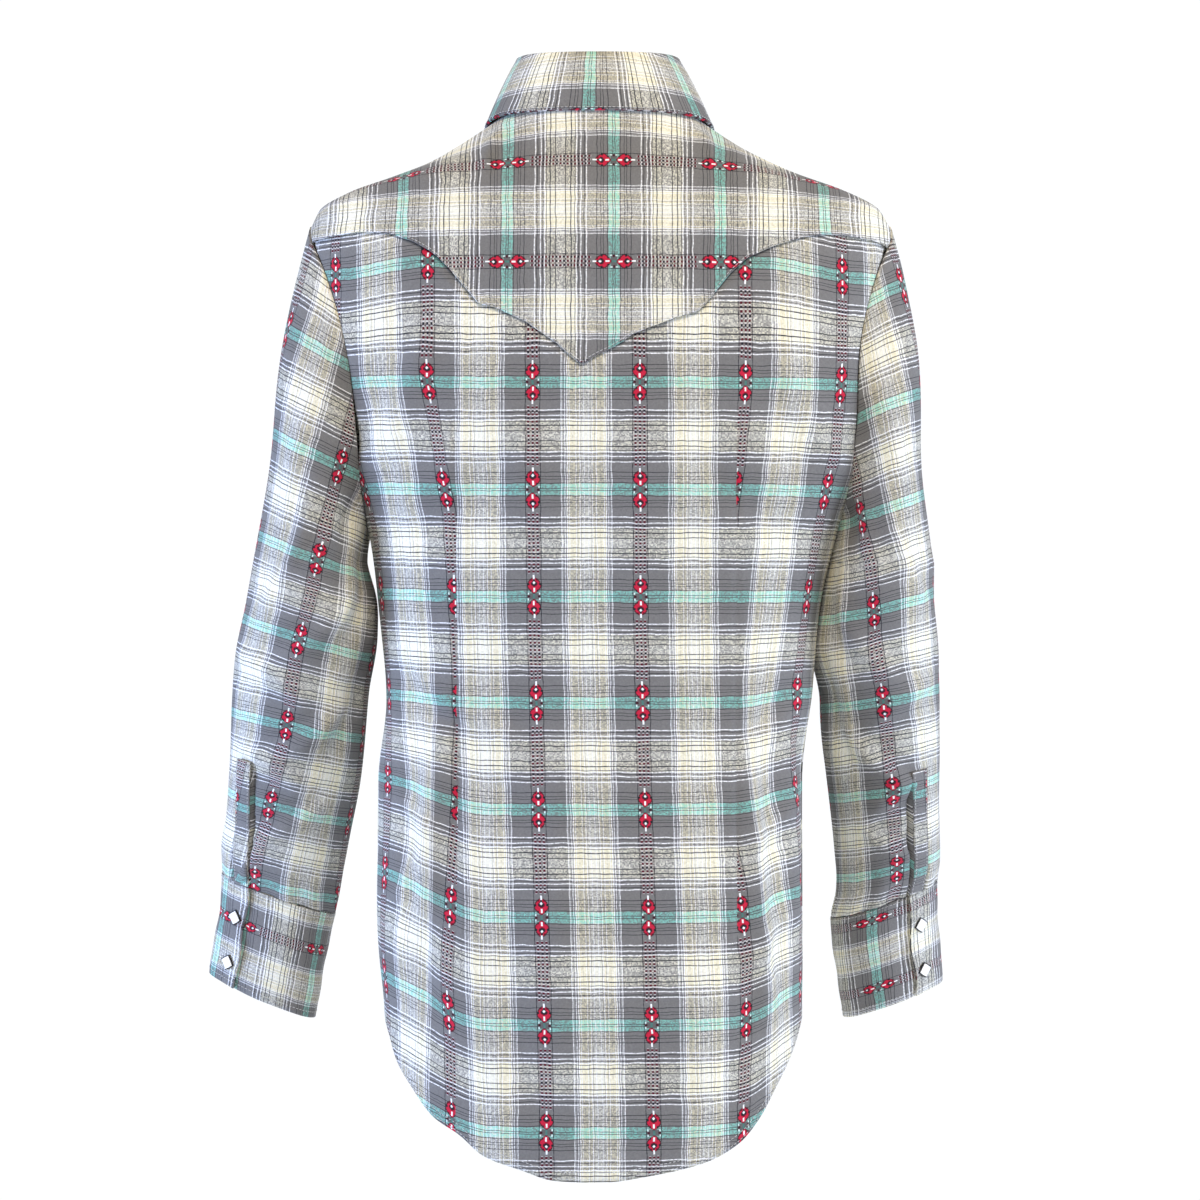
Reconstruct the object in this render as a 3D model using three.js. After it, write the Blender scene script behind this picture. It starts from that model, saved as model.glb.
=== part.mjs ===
// A long-sleeved western snap shirt, filled out as if worn, in millimetres with +Z up.
// The wearer faces -Y, so the back is at +Y and the wearer's left arm is at +X.
// The origin is the middle of the neck, level with the collar seam.
// Each cut piece is a thin wall on one smooth form, with a narrow gap at every seam.
import * as THREE from "three";

// ---- driving dimensions -------------------------------------------------------------------
const WALL = 1.2;             // cloth wall
const SEAM = 0.4;             // gap between two pieces that meet edge to edge
const LAP = WALL + 0.4;       // how far a piece that lies on another is moved out
const STAND_HEIGHT = 33;      // collar stand at the back of the neck
const BAND_WIDTH = 32;        // front band
const CUFF_OVERLAP = 34;      // degrees of cuff under its lap
const CUFF_LIFT_END = 60;     // degrees over which the lap settles back on the wrist
const OPENING_LENGTH = 100;   // bound opening above the cuff
const OPENING_BAND_TURN = 20; // degrees of sleeve that its band covers
const BAND_SNAPS = 7;
const BAND_SNAP_TOP = -42;    // levels of the highest and lowest snap on the band
const BAND_SNAP_BOTTOM = -650;
const SNAP = { half: 6.6, face: 4.6, height: 2.2, seat: 0.5 };
const UNDERARM = -321;        // height of the underarm point
const YOKE_FRONT_TURN = -30;  // the yoke's front seam, degrees forward of the shoulder line
const CENTRE_FRONT = -90;
const FRONT_GAP_TURN = 0.3;   // half the gap between the two fronts under the band, in degrees
const SIDE_GAP_TURN = 0.03;   // half the gap of the side seam
const YOKE_GAP_TURN = 0.15;   // half the gap of the yoke's front seam

// ---- the form: one row for each level, from the neck seam down ------------------------------
// left, right: half widths. back, front: depths. square: 2 is an ellipse, more is boxier.
// rise: how far the ring climbs to the back. drop: how far it falls to the front.
const FORM = [
  { z: -4, left: 66, right: 66, back: 62, front: 68, square: 2.0, rise: 4, drop: 66 },
  { z: -12, left: 84, right: 85, back: 68, front: 76, square: 2.0, rise: 4, drop: 66 },
  { z: -31, left: 108, right: 110, back: 74, front: 85, square: 2.0, rise: 5, drop: 64 },
  { z: -44, left: 131, right: 136, back: 78, front: 90, square: 2.0, rise: 5, drop: 62 },
  { z: -54, left: 159, right: 158, back: 82, front: 94, square: 2.05, rise: 5, drop: 60 },
  { z: -65, left: 190, right: 188, back: 86, front: 98, square: 2.1, rise: 5, drop: 57 },
  { z: -79, left: 212, right: 214, back: 90, front: 102, square: 2.15, rise: 4, drop: 52 },
  { z: -108, left: 221, right: 226, back: 95, front: 107, square: 2.2, rise: 2, drop: 38 },
  { z: -150, left: 218, right: 224, back: 101, front: 113, square: 2.3, rise: 0, drop: 20 },
  { z: -225, left: 205, right: 218, back: 104, front: 119, square: 2.4, rise: 0, drop: 6 },
  { z: -274, left: 191, right: 203, back: 102, front: 119, square: 2.4, rise: 0, drop: 0 },
  { z: -321, left: 174, right: 181, back: 98, front: 117, square: 2.4, rise: 0, drop: 0 },
  { z: -375, left: 167, right: 169, back: 91, front: 112, square: 2.4, rise: 0, drop: 0 },
  { z: -450, left: 160, right: 161, back: 86, front: 108, square: 2.4, rise: 0, drop: 0 },
  { z: -510, left: 166, right: 155, back: 90, front: 108, square: 2.4, rise: 0, drop: 0 },
  { z: -570, left: 167, right: 155, back: 97, front: 108, square: 2.4, rise: 0, drop: 0 },
  { z: -630, left: 166, right: 155, back: 102, front: 106, square: 2.4, rise: 0, drop: 0 },
  { z: -700, left: 161, right: 154, back: 105, front: 104, square: 2.4, rise: 0, drop: 0 },
  { z: -800, left: 158, right: 152, back: 105, front: 102, square: 2.4, rise: 0, drop: 0 },
];

// The armhole is an oval seen from the side: y and z of its middle, and its half sizes.
const ARMHOLE = { y: -6, z: -205, halfDepth: 66, halfHeight: 116 };

// The back yoke seam, from the wearer's left armhole to the right one: a point in the middle
// and a square corner on each blade. across: part of the way over the back.
const YOKE_SEAM = [
  { across: 0, z: -104.5 },
  { across: 0.084, z: -103 },
  { across: 0.164, z: -101.5 },
  { across: 0.217, z: -103.5 },
  { across: 0.252, z: -110.5 },
  { across: 0.275, z: -118.5 },
  { across: 0.293, z: -129 },
  { across: 0.313, z: -143 },
  { across: 0.334, z: -156.5 },
  { across: 0.359, z: -159.5 },
  { across: 0.407, z: -170 },
  { across: 0.452, z: -186 },
  { across: 0.484, z: -202 },
  { across: 0.502, z: -193.5 },
  { across: 0.541, z: -178.5 },
  { across: 0.589, z: -168.5 },
  { across: 0.628, z: -163 },
  { across: 0.641, z: -158 },
  { across: 0.673, z: -135 },
  { across: 0.694, z: -123.5 },
  { across: 0.731, z: -114 },
  { across: 0.775, z: -106.5 },
  { across: 0.803, z: -104 },
  { across: 0.847, z: -103.5 },
  { across: 0.945, z: -106 },
  { across: 1, z: -109 },
];

// The shirt tail, by part of the way from one side seam to the other.
const TAIL = [
  { across: 0, z: -686 },
  { across: 0.075, z: -698 },
  { across: 0.12, z: -714.5 },
  { across: 0.185, z: -733.5 },
  { across: 0.245, z: -753 },
  { across: 0.302, z: -764.5 },
  { across: 0.348, z: -779 },
  { across: 0.407, z: -788 },
  { across: 0.456, z: -795.5 },
  { across: 0.5, z: -796.5 },
  { across: 0.556, z: -792.5 },
  { across: 0.649, z: -783.5 },
  { across: 0.716, z: -771.5 },
  { across: 0.766, z: -754.5 },
  { across: 0.817, z: -731.5 },
  { across: 0.889, z: -706.5 },
  { across: 0.941, z: -693 },
  { across: 1, z: -686 },
];
const FRONT_TAIL_RISE = 0.84; // the front tail is this part as deep as the back one

// Sleeve rings from just under the armhole to the cuff's top, then the cuff's lower edge.
// out, in: the widest and the nearest point to the body. y: middle. deep: half depth.
// cant: how much the ring falls towards the body, as a slope.
const SLEEVE_LEFT = [
  { z: -345, out: 261, in: 176, y: -2, deep: 64, cant: 0 },
  { z: -375, out: 267, in: 172, y: -4, deep: 63, cant: 0 },
  { z: -415, out: 275, in: 173.5, y: -12, deep: 61, cant: 0.05 },
  { z: -450, out: 278.5, in: 177, y: -22, deep: 59, cant: 0.1 },
  { z: -500, out: 283, in: 184, y: -40, deep: 55, cant: 0.2 },
  { z: -550, out: 288, in: 195, y: -60, deep: 51, cant: 0.28 },
  { z: -585, out: 294, in: 203, y: -74, deep: 46, cant: 0.34 },
  { z: -603, out: 294, in: 207.5, y: -81, deep: 40, cant: 0.36 },
  { z: -686, out: 307, in: 225, y: -110, deep: 38, cant: 0.44 },
];
const SLEEVE_RIGHT = [
  { z: -345, out: 255, in: 182, y: -2, deep: 64, cant: 0 },
  { z: -375, out: 256, in: 175, y: -4, deep: 63, cant: 0 },
  { z: -415, out: 259, in: 169, y: -12, deep: 61, cant: 0.05 },
  { z: -450, out: 261, in: 170.5, y: -22, deep: 59, cant: 0.1 },
  { z: -500, out: 263, in: 177, y: -40, deep: 55, cant: 0.2 },
  { z: -550, out: 265, in: 184, y: -60, deep: 51, cant: 0.28 },
  { z: -588, out: 267, in: 187, y: -75, deep: 46, cant: 0.34 },
  { z: -608, out: 265, in: 184, y: -82, deep: 40, cant: 0.36 },
  { z: -689, out: 272, in: 195, y: -111, deep: 38, cant: 0.38 },
];

// ---- small helpers --------------------------------------------------------------------------
const toRadians = (degrees) => degrees * Math.PI / 180;
const mix = (a, b, t) => a + (b - a) * t;
const clamp01 = (t) => Math.min(1, Math.max(0, t));
const smooth = (t) => clamp01(t) ** 2 * (3 - 2 * clamp01(t));
const steps = (count) => Array.from({ length: count + 1 }, (_, i) => i / count);

// Reads one column of a table at a key, with a smooth curve that never overshoots its rows.
function readTable(rows, keyName, column, key) {
  const rising = rows[1][keyName] > rows[0][keyName];
  const last = rows.length - 1;
  const inside = (i) => (rising ? key > rows[i][keyName] : key < rows[i][keyName]);
  let i = 0;
  while (i < last - 1 && inside(i + 1)) i += 1;
  const slope = (j) => (rows[j + 1][column] - rows[j][column]) / (rows[j + 1][keyName] - rows[j][keyName]);
  const tangent = (j) => {
    if (j === 0) return slope(0);
    if (j === last) return slope(last - 1);
    const before = slope(j - 1);
    const after = slope(j);
    return before * after <= 0 ? 0 : 2 * before * after / (before + after);
  };
  const width = rows[i + 1][keyName] - rows[i][keyName];
  const t = clamp01((key - rows[i][keyName]) / width);
  const h = [2 * t ** 3 - 3 * t ** 2 + 1, t ** 3 - 2 * t ** 2 + t, -2 * t ** 3 + 3 * t ** 2, t ** 3 - t ** 2];
  return h[0] * rows[i][column] + h[1] * width * tangent(i)
    + h[2] * rows[i + 1][column] + h[3] * width * tangent(i + 1);
}

// Reads a column with straight lines between the rows, so that corners stay sharp.
function readStraight(rows, keyName, column, key) {
  let i = 0;
  while (i < rows.length - 2 && key > rows[i + 1][keyName]) i += 1;
  const t = clamp01((key - rows[i][keyName]) / (rows[i + 1][keyName] - rows[i][keyName]));
  return mix(rows[i][column], rows[i + 1][column], t);
}

// A point of the form. turn: 0 at the wearer's left side, 90 at the back, 180 at the right.
function formPoint(turn, level) {
  const read = (column) => readTable(FORM, "z", column, level);
  const c = Math.cos(toRadians(turn));
  const s = Math.sin(toRadians(turn));
  const power = 2 / read("square");
  const half = c >= 0 ? read("left") : read("right");
  const depth = s >= 0 ? read("back") : read("front");
  const lift = s >= 0 ? read("rise") : -read("drop");
  return new THREE.Vector3(
    half * Math.sign(c) * Math.abs(c) ** power,
    depth * Math.sign(s) * Math.abs(s) ** power,
    level + lift * s * s);
}

function formNormal(turn, level) {
  const around = formPoint(turn + 0.5, level).sub(formPoint(turn - 0.5, level));
  const down = formPoint(turn, level - 1).sub(formPoint(turn, level + 1));
  return new THREE.Vector3().crossVectors(down, around).normalize();
}

const liftedPoint = (turn, level, height) =>
  formPoint(turn, level).addScaledVector(formNormal(turn, level), height);

// The turn at which the form crosses the armhole's edge, on side +1 (left) or -1 (right) and
// to the back (+1) or the front (-1). Below the underarm it is the side seam.
function armholeTurn(level, side, toBack) {
  const rise = (level - ARMHOLE.z) / ARMHOLE.halfHeight;
  const yAtEdge = Math.abs(rise) >= 1 ? 0
    : ARMHOLE.y + toBack * ARMHOLE.halfDepth * Math.sqrt(1 - rise * rise);
  const mirrored = (turn) => (side > 0 ? turn : 180 - turn);
  let low = -80;
  let high = 80;
  for (let i = 0; i < 40; i += 1) {
    const middle = (low + high) / 2;
    if (formPoint(mirrored(middle), level).y < yAtEdge) low = middle;
    else high = middle;
  }
  if (Math.abs(rise) >= 1) return 0;
  return (low + high) / 2;
}

// ---- walls ------------------------------------------------------------------------------------
// Makes a closed wall from a grid of middle points. Rows run along the piece. A looped grid
// joins its last column to its first.
function wallGeometry(grid, { looped = false, wall = WALL } = {}) {
  const rows = grid.length;
  const columns = grid[0].length;
  const at = (r, c) => grid[Math.min(rows - 1, Math.max(0, r))][
    looped ? (c + columns) % columns : Math.min(columns - 1, Math.max(0, c))];
  const positions = [];
  for (const side of [1, -1]) {
    for (let r = 0; r < rows; r += 1) {
      for (let c = 0; c < columns; c += 1) {
        const along = at(r + 1, c).clone().sub(at(r - 1, c));
        const across = at(r, c + 1).clone().sub(at(r, c - 1));
        const normal = across.cross(along).normalize();
        positions.push(at(r, c).clone().addScaledVector(normal, side * wall / 2));
      }
    }
  }
  const id = (layer, r, c) => layer * rows * columns + r * columns + (c % columns);
  const faces = [];
  const quad = (a, b, c, d) => faces.push([a, b, c], [a, c, d]);
  const lastColumn = looped ? columns : columns - 1;
  for (let r = 0; r < rows - 1; r += 1) {
    for (let c = 0; c < lastColumn; c += 1) {
      quad(id(0, r, c), id(0, r, c + 1), id(0, r + 1, c + 1), id(0, r + 1, c));
      quad(id(1, r, c), id(1, r + 1, c), id(1, r + 1, c + 1), id(1, r, c + 1));
    }
  }
  for (let c = 0; c < lastColumn; c += 1) {
    quad(id(0, 0, c), id(1, 0, c), id(1, 0, c + 1), id(0, 0, c + 1));
    quad(id(0, rows - 1, c), id(0, rows - 1, c + 1), id(1, rows - 1, c + 1), id(1, rows - 1, c));
  }
  if (!looped) {
    for (let r = 0; r < rows - 1; r += 1) {
      quad(id(0, r, 0), id(0, r + 1, 0), id(1, r + 1, 0), id(1, r, 0));
      quad(id(0, r, columns - 1), id(1, r, columns - 1), id(1, r + 1, columns - 1), id(0, r + 1, columns - 1));
    }
  }
  return outwardGeometry(positions, faces);
}

// Turns a closed shell's faces outwards and makes a geometry of it.
function outwardGeometry(points, faces) {
  const volume = faces.reduce((sum, [a, b, c]) =>
    sum + points[a].dot(new THREE.Vector3().crossVectors(points[b], points[c])), 0);
  const turned = volume < 0 ? faces.map(([a, b, c]) => [a, c, b]) : faces;
  const geometry = new THREE.BufferGeometry();
  geometry.setAttribute("position",
    new THREE.Float32BufferAttribute(points.flatMap((p) => [p.x, p.y, p.z]), 3));
  geometry.setIndex(turned.flat());
  geometry.computeVertexNormals();
  return geometry;
}

// ---- materials ----------------------------------------------------------------------------------
const CLOTH = { color: 0xa3a19a, roughness: 0.9, metalness: 0 };
const PEARL = { color: 0xf1f0ea, roughness: 0.25, metalness: 0.05 };
const shirt = new THREE.Group();

function add(name, geometry, look) {
  const mesh = new THREE.Mesh(geometry, new THREE.MeshStandardMaterial(look));
  mesh.name = name;
  shirt.add(mesh);
  return mesh;
}

// ---- back and fronts --------------------------------------------------------------------------
const BACK_COLUMNS = [0, 0.04, 0.08, 0.12, 0.16, 0.22, 0.27, 0.315, 0.36, 0.42, 0.47,
  0.54, 0.61, 0.672, 0.715, 0.76, 0.8, 0.84, 0.88, 0.92, 0.96, 1];
const ROWS_BELOW = 11; // rows from the hem to the underarm
const ROWS_ABOVE = 9;  // rows from the underarm to the top edge
const ABOVE_EASE = 1.5; // rows crowd together at the underarm, where the edge turns fast
const ROWS_TO_SHELF = 5; // rows from the underarm to the yoke's front seam
const SHOULDER_ROWS = 8;
const FRONT_COLUMNS = 9;
const BAND_LIFT = LAP + 0.3;

// The heights of one column's rows, from its hem to its top edge.
function columnLevels(hem, top, rowsAbove = ROWS_ABOVE) {
  const below = steps(ROWS_BELOW).map((t) => mix(hem, UNDERARM, t));
  const above = steps(rowsAbove).slice(1).map((t) => mix(UNDERARM, top, t ** ABOVE_EASE));
  return [...below, ...above];
}

// The heights of the rows over the shoulder, from an edge up to the neck seam.
const shoulderLevels = (low) =>
  steps(SHOULDER_ROWS).map((t) => mix(low, FORM[0].z, smooth(t) * 0.4 + t * 0.6));

function backTurn(across, level) {
  const left = armholeTurn(level, 1, 1) + SIDE_GAP_TURN;
  const right = 180 - armholeTurn(level, -1, 1) - SIDE_GAP_TURN;
  return mix(left, right, across);
}

const columnsToGrid = (columns) => columns[0].map((_, r) => columns.map((column) => column[r]));

function buildBack() {
  const columns = BACK_COLUMNS.map((across) => {
    const hem = readTable(TAIL, "across", "z", across);
    const top = readStraight(YOKE_SEAM, "across", "z", across) - SEAM / 2;
    return columnLevels(hem, top).map((level) => formPoint(backTurn(across, level), level));
  });
  add("back", wallGeometry(columnsToGrid(columns)), CLOTH);
}

// The height at which a line of the form, at one turn, meets the top of the armhole.
function armholeLevel(turn, side) {
  let high = -60;
  let low = ARMHOLE.z;
  for (let i = 0; i < 40; i += 1) {
    const middle = (low + high) / 2;
    const y = formPoint(side > 0 ? turn : 180 - turn, middle).y;
    const inside = ((y - ARMHOLE.y) / ARMHOLE.halfDepth) ** 2
      + ((middle - ARMHOLE.z) / ARMHOLE.halfHeight) ** 2 < 1;
    if (inside) low = middle;
    else high = middle;
  }
  return high;
}

// side is +1 for the wearer's left front. across runs from the side seam to the centre front.
function frontTurn(across, level, side, shelf) {
  const seam = level < UNDERARM ? 0 : armholeTurn(level, side, -1);
  const outer = level >= shelf ? YOKE_FRONT_TURN - YOKE_GAP_TURN : seam - SIDE_GAP_TURN;
  const turn = mix(outer, CENTRE_FRONT + FRONT_GAP_TURN, across);
  return side > 0 ? turn : 180 - turn;
}

// The heights of one front column's rows: hem, underarm, end of the yoke's front seam, neck.
function frontLevels(across, side) {
  const hem = mix(TAIL[0].z, readTable(TAIL, "across", "z", across / 2), FRONT_TAIL_RISE);
  const shelf = armholeLevel(YOKE_FRONT_TURN, side);
  return [...columnLevels(hem, shelf, ROWS_TO_SHELF), ...shoulderLevels(shelf).slice(1)];
}

function buildFront(name, side) {
  const shelf = armholeLevel(YOKE_FRONT_TURN, side);
  const columns = steps(FRONT_COLUMNS).map((across) => frontLevels(across, side)
    .map((level) => formPoint(frontTurn(across, level, side, shelf), level)));
  add(name, wallGeometry(columnsToGrid(columns)), CLOTH);
}

// The band lies on both fronts and carries the snaps.
function bandPoint(x, level, height) {
  const front = readTable(FORM, "z", "front", level);
  const half = readTable(FORM, "z", x >= 0 ? "left" : "right", level);
  const square = readTable(FORM, "z", "square", level);
  const cosine = Math.min(1, Math.abs(x) / half) ** (square / 2);
  const turn = -Math.acos(cosine) * 180 / Math.PI;
  return liftedPoint(x >= 0 ? turn : 180 - turn, level, height);
}

function buildBand() {
  const levels = frontLevels(1, 1);
  levels[levels.length - 1] -= 2;
  const grid = levels.map((level) =>
    steps(2).map((t) => bandPoint(mix(-BAND_WIDTH / 2, BAND_WIDTH / 2, t), level, BAND_LIFT)));
  add("front_band", wallGeometry(grid), CLOTH);
}

// ---- yoke ---------------------------------------------------------------------------------------
// The lower edge of the yoke at one turn: the armhole at its ends, the back seam between.
function yokeColumn(across) {
  const seam = readStraight(YOKE_SEAM, "across", "z", across) + SEAM / 2;
  const low = backTurn(across, seam);
  return { turn: low, low: seam };
}

function buildYoke() {
  const shoulder = (side) => {
    const end = backTurn(side > 0 ? 0 : 1, yokeColumn(side > 0 ? 0 : 1).low);
    const inner = side > 0 ? end : 180 - end;
    return steps(7).slice(0, -1).map((t) => {
      const turn = mix(YOKE_FRONT_TURN + YOKE_GAP_TURN, inner, t);
      const low = armholeLevel(t === 0 ? YOKE_FRONT_TURN : turn, side);
      return { turn: side > 0 ? turn : 180 - turn, low };
    });
  };
  const outline = [...shoulder(1), ...BACK_COLUMNS.map(yokeColumn), ...shoulder(-1).reverse()];
  const columns = outline.map(({ turn, low }) =>
    shoulderLevels(low).map((level) => formPoint(turn, level)));
  add("yoke", wallGeometry(columnsToGrid(columns)), CLOTH);
}

// ---- collar -------------------------------------------------------------------------------------
const STAND_LAP_TURN = -98;   // the stand's left end, lapped past the centre front
const STAND_OVERLAP = 8;      // degrees of stand under that lap
const STAND_LIFT_END = 8;     // degrees over which the lap settles back
const STAND_FOOT = 0.8;         // the stand's lower edge over the neck seam
const STAND_OUT = -1.3;       // the stand's middle line, inside the neck seam
const LEAF_TOP_END = -80;     // the leaf's front end at the fold
const LEAF_TIP_TURN = -64;    // the collar point
const STAND_LEAN = 5;         // how far the stand leans in over its height

function neckPoint(turn, out, up) {
  const onSeam = formPoint(turn, FORM[0].z);
  const flat = new THREE.Vector3(onSeam.x, onSeam.y, 0).normalize();
  const lean = STAND_LEAN * up / STAND_HEIGHT;
  return onSeam.addScaledVector(flat, out - lean).add(new THREE.Vector3(0, 0, up));
}

function standPoint(travelled, up) {
  const lift = LAP * (1 - smooth((travelled - STAND_OVERLAP) / STAND_LIFT_END));
  return neckPoint(STAND_LAP_TURN + travelled, STAND_OUT + lift, up);
}

function buildCollar() {
  const travel = [0, 4, 8, 12, 16, ...steps(26).map((t) => mix(22, 360 + STAND_OVERLAP, t))];
  const stand = [STAND_FOOT, STAND_HEIGHT * 0.5, STAND_HEIGHT - 1].map((up) =>
    travel.map((travelled) => standPoint(travelled, up)));
  add("collar_stand", wallGeometry(stand), CLOTH);

  // The leaf folds over the stand's top edge and comes down to rest just over the yoke.
  const leafEdge = (turn) => {
    const toFront = smooth((-turn) / -LEAF_TIP_TURN);
    return liftedPoint(turn, mix(-14, -50, toFront), 3.2);
  };
  const leaf = [0, 0.06, 0.3, 0.65, 1].map((down) => steps(28).map((t) => {
    const side = t <= 0.5 ? 1 : -1;
    const part = t <= 0.5 ? t * 2 : (1 - t) * 2;
    const top = mix(LEAF_TOP_END, 90, part);
    const edge = mix(LEAF_TIP_TURN, 90, part);
    const mirror = (turn) => (side > 0 ? turn : 180 - turn);
    const fold = neckPoint(mirror(top), STAND_OUT + LAP + 0.5 + 4 * Math.sqrt(down), STAND_HEIGHT);
    const rest = leafEdge(edge);
    if (side < 0) rest.x = -rest.x;
    return fold.lerp(rest, down);
  }));
  add("collar_leaf", wallGeometry(leaf), CLOTH);
}

// ---- sleeves ------------------------------------------------------------------------------------
const RING_POINTS = 18;
const CAP_ROWS = 7;
const TUBE_ROWS = 8;
const CUFF_GAP = 0.9;         // from the sleeve's last ring to the cuff, along the arm
const ON_SLEEVE = LAP + 0.9;  // clears the flats of the sleeve's facets

// A point of a sleeve ring. turn: 0 outwards, 90 to the back, 180 to the body.
function ringPoint(table, side, turn, level, height = 0) {
  const read = (column) => readTable(table, "z", column, level);
  const half = (read("out") - read("in")) / 2;
  const across = (half + height) * Math.cos(toRadians(turn));
  return new THREE.Vector3(
    side * ((read("out") + read("in")) / 2 + across),
    read("y") + (read("deep") + height) * Math.sin(toRadians(turn)),
    level + read("cant") * across);
}

// The armhole's edge on the form, moved out so that the sleeve's head lies on the body.
function armholePoint(turn, side) {
  const level = ARMHOLE.z + ARMHOLE.halfHeight * Math.cos(toRadians(turn)) * 0.998;
  const formTurn = armholeTurn(level, side, Math.sin(toRadians(turn)) >= 0 ? 1 : -1);
  return liftedPoint(side > 0 ? formTurn : 180 - formTurn, level, LAP + 0.5);
}

function sleevePoint(table, side, turn, row) {
  const start = armholePoint(turn, side);
  const end = ringPoint(table, side, turn, table[0].z);
  const c = Math.cos(toRadians(turn));
  const s = Math.sin(toRadians(turn));
  const reach = start.distanceTo(end) * 0.42;
  const leave = new THREE.Vector3(
    side * (0.13 + 0.08 * c + 0.45 * s * s), 0.15 * s, -0.9 + 0.25 * s * s).normalize();
  const arrive = new THREE.Vector3(side * 0.1 * (1 + c), 0, -1).normalize();
  const curve = new THREE.CubicBezierCurve3(start,
    start.clone().addScaledVector(leave, reach), end.clone().addScaledVector(arrive, -reach), end);
  return curve.getPoint(row);
}

function buildSleeve(name, table, side) {
  const turns = steps(RING_POINTS).slice(0, -1).map((t) => 360 * t);
  const cap = steps(CAP_ROWS).slice(0, -1).map((t) => turns.map((turn) => sleevePoint(table, side, turn, t)));
  const cuffTop = table[table.length - 2].z;
  const tube = steps(TUBE_ROWS).map((t) => mix(table[0].z, cuffTop + CUFF_GAP, t))
    .map((level) => turns.map((turn) => ringPoint(table, side, turn, level)));
  add(name, wallGeometry([...cap, ...tube], { looped: true }), CLOTH);
}

// The cuff runs once round and on under its lap. The lap's edge is at the back, outwards.
const LAP_EDGE = { left: 65, right: 68 };
const SNAP_ROWS = [0.78, 0.33]; // the two cuff snaps, as parts of the way down the cuff
const SNAP_TRAVEL = 14;         // degrees from the lap's edge to the snaps

function cuffPoint(table, side, lapTurn, travelled, level) {
  const lift = LAP * (1 - smooth((travelled - CUFF_OVERLAP) / CUFF_LIFT_END));
  return ringPoint(table, side, lapTurn - travelled, level, lift);
}

function buildCuff(name, table, side, lapTurn) {
  const top = table[table.length - 2].z;
  const bottom = table[table.length - 1].z;
  const travel = steps(26).map((t) => (360 + CUFF_OVERLAP - 4) * t);
  const grid = [1, ...SNAP_ROWS, 0].map((down) => mix(top, bottom, down)).map((level) =>
    travel.map((travelled) => cuffPoint(table, side, lapTurn, travelled, level)));
  add(name, wallGeometry(grid), CLOTH);
}

// The band that binds the sleeve's opening lies along its lapped edge.
function buildSleeveBand(name, table, side, lapTurn) {
  const bottom = table[table.length - 2].z + CUFF_GAP;
  const grid = steps(6).map((t) => mix(bottom, bottom + OPENING_LENGTH, t)).map((level) =>
    steps(2).map((t) => ringPoint(table, side, lapTurn - OPENING_BAND_TURN * t, level, ON_SLEEVE)));
  add(name, wallGeometry(grid), CLOTH);
}

// ---- snaps --------------------------------------------------------------------------------------
// A diamond snap: a low pyramid with a flat pearl face. It stands on the surface that
// at(around, along) gives near (0, 0), on the side that faces away from the point inside.
function addSnap(name, at, inside) {
  const centre = at(0, 0);
  const along = at(0, 1).sub(at(0, -1));
  const normal = new THREE.Vector3().crossVectors(along, at(1, 0).sub(at(-1, 0))).normalize();
  if (normal.dot(centre.clone().sub(inside)) < 0) normal.negate();
  const side = new THREE.Vector3().crossVectors(along, normal).normalize();
  const snap = add(name, new THREE.CylinderGeometry(SNAP.face, SNAP.half, SNAP.height, 4, 1), PEARL);
  snap.matrix.makeBasis(side, normal, new THREE.Vector3().crossVectors(side, normal));
  snap.matrix.setPosition(centre.addScaledVector(normal, WALL / 2 + SNAP.seat + SNAP.height / 2));
  snap.matrix.decompose(snap.position, snap.quaternion, snap.scale);
}

function buildSnaps() {
  const neckMiddle = new THREE.Vector3();
  addSnap("band_snap_1", (around, along) =>
    standPoint(STAND_OVERLAP - 2 + around, STAND_HEIGHT / 2 + along), neckMiddle);
  steps(BAND_SNAPS - 1).forEach((t, i) => {
    const level = mix(BAND_SNAP_TOP, BAND_SNAP_BOTTOM, t);
    addSnap(`band_snap_${i + 2}`, (across, along) => bandPoint(across, level + along, BAND_LIFT),
      new THREE.Vector3(0, 0, level));
  });
  for (const [word, table, side] of [["left", SLEEVE_LEFT, 1], ["right", SLEEVE_RIGHT, -1]]) {
    const top = table[table.length - 2].z;
    const bottom = table[table.length - 1].z;
    SNAP_ROWS.forEach((part, i) => {
      const level = mix(top, bottom, part);
      const wrist = ringPoint(table, side, 0, level).lerp(ringPoint(table, side, 180, level), 0.5);
      addSnap(`cuff_snap_${word}_${2 - i}`, (around, along) =>
        cuffPoint(table, side, LAP_EDGE[word], SNAP_TRAVEL + around, level + along), wrist);
    });
  }
}

// ---- the whole shirt ------------------------------------------------------------------------------
buildBack();
buildFront("front_left", 1);
buildFront("front_right", -1);
buildBand();
buildYoke();
buildCollar();
buildSleeve("sleeve_left", SLEEVE_LEFT, 1);
buildSleeve("sleeve_right", SLEEVE_RIGHT, -1);
buildCuff("cuff_left", SLEEVE_LEFT, 1, LAP_EDGE.left);
buildCuff("cuff_right", SLEEVE_RIGHT, -1, LAP_EDGE.right);
buildSleeveBand("sleeve_band_left", SLEEVE_LEFT, 1, LAP_EDGE.left);
buildSleeveBand("sleeve_band_right", SLEEVE_RIGHT, -1, LAP_EDGE.right);
buildSnaps();

export default shirt;
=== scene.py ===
"""A western snap shirt in woven plaid, filled out as worn, with its studio."""
import math

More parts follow.
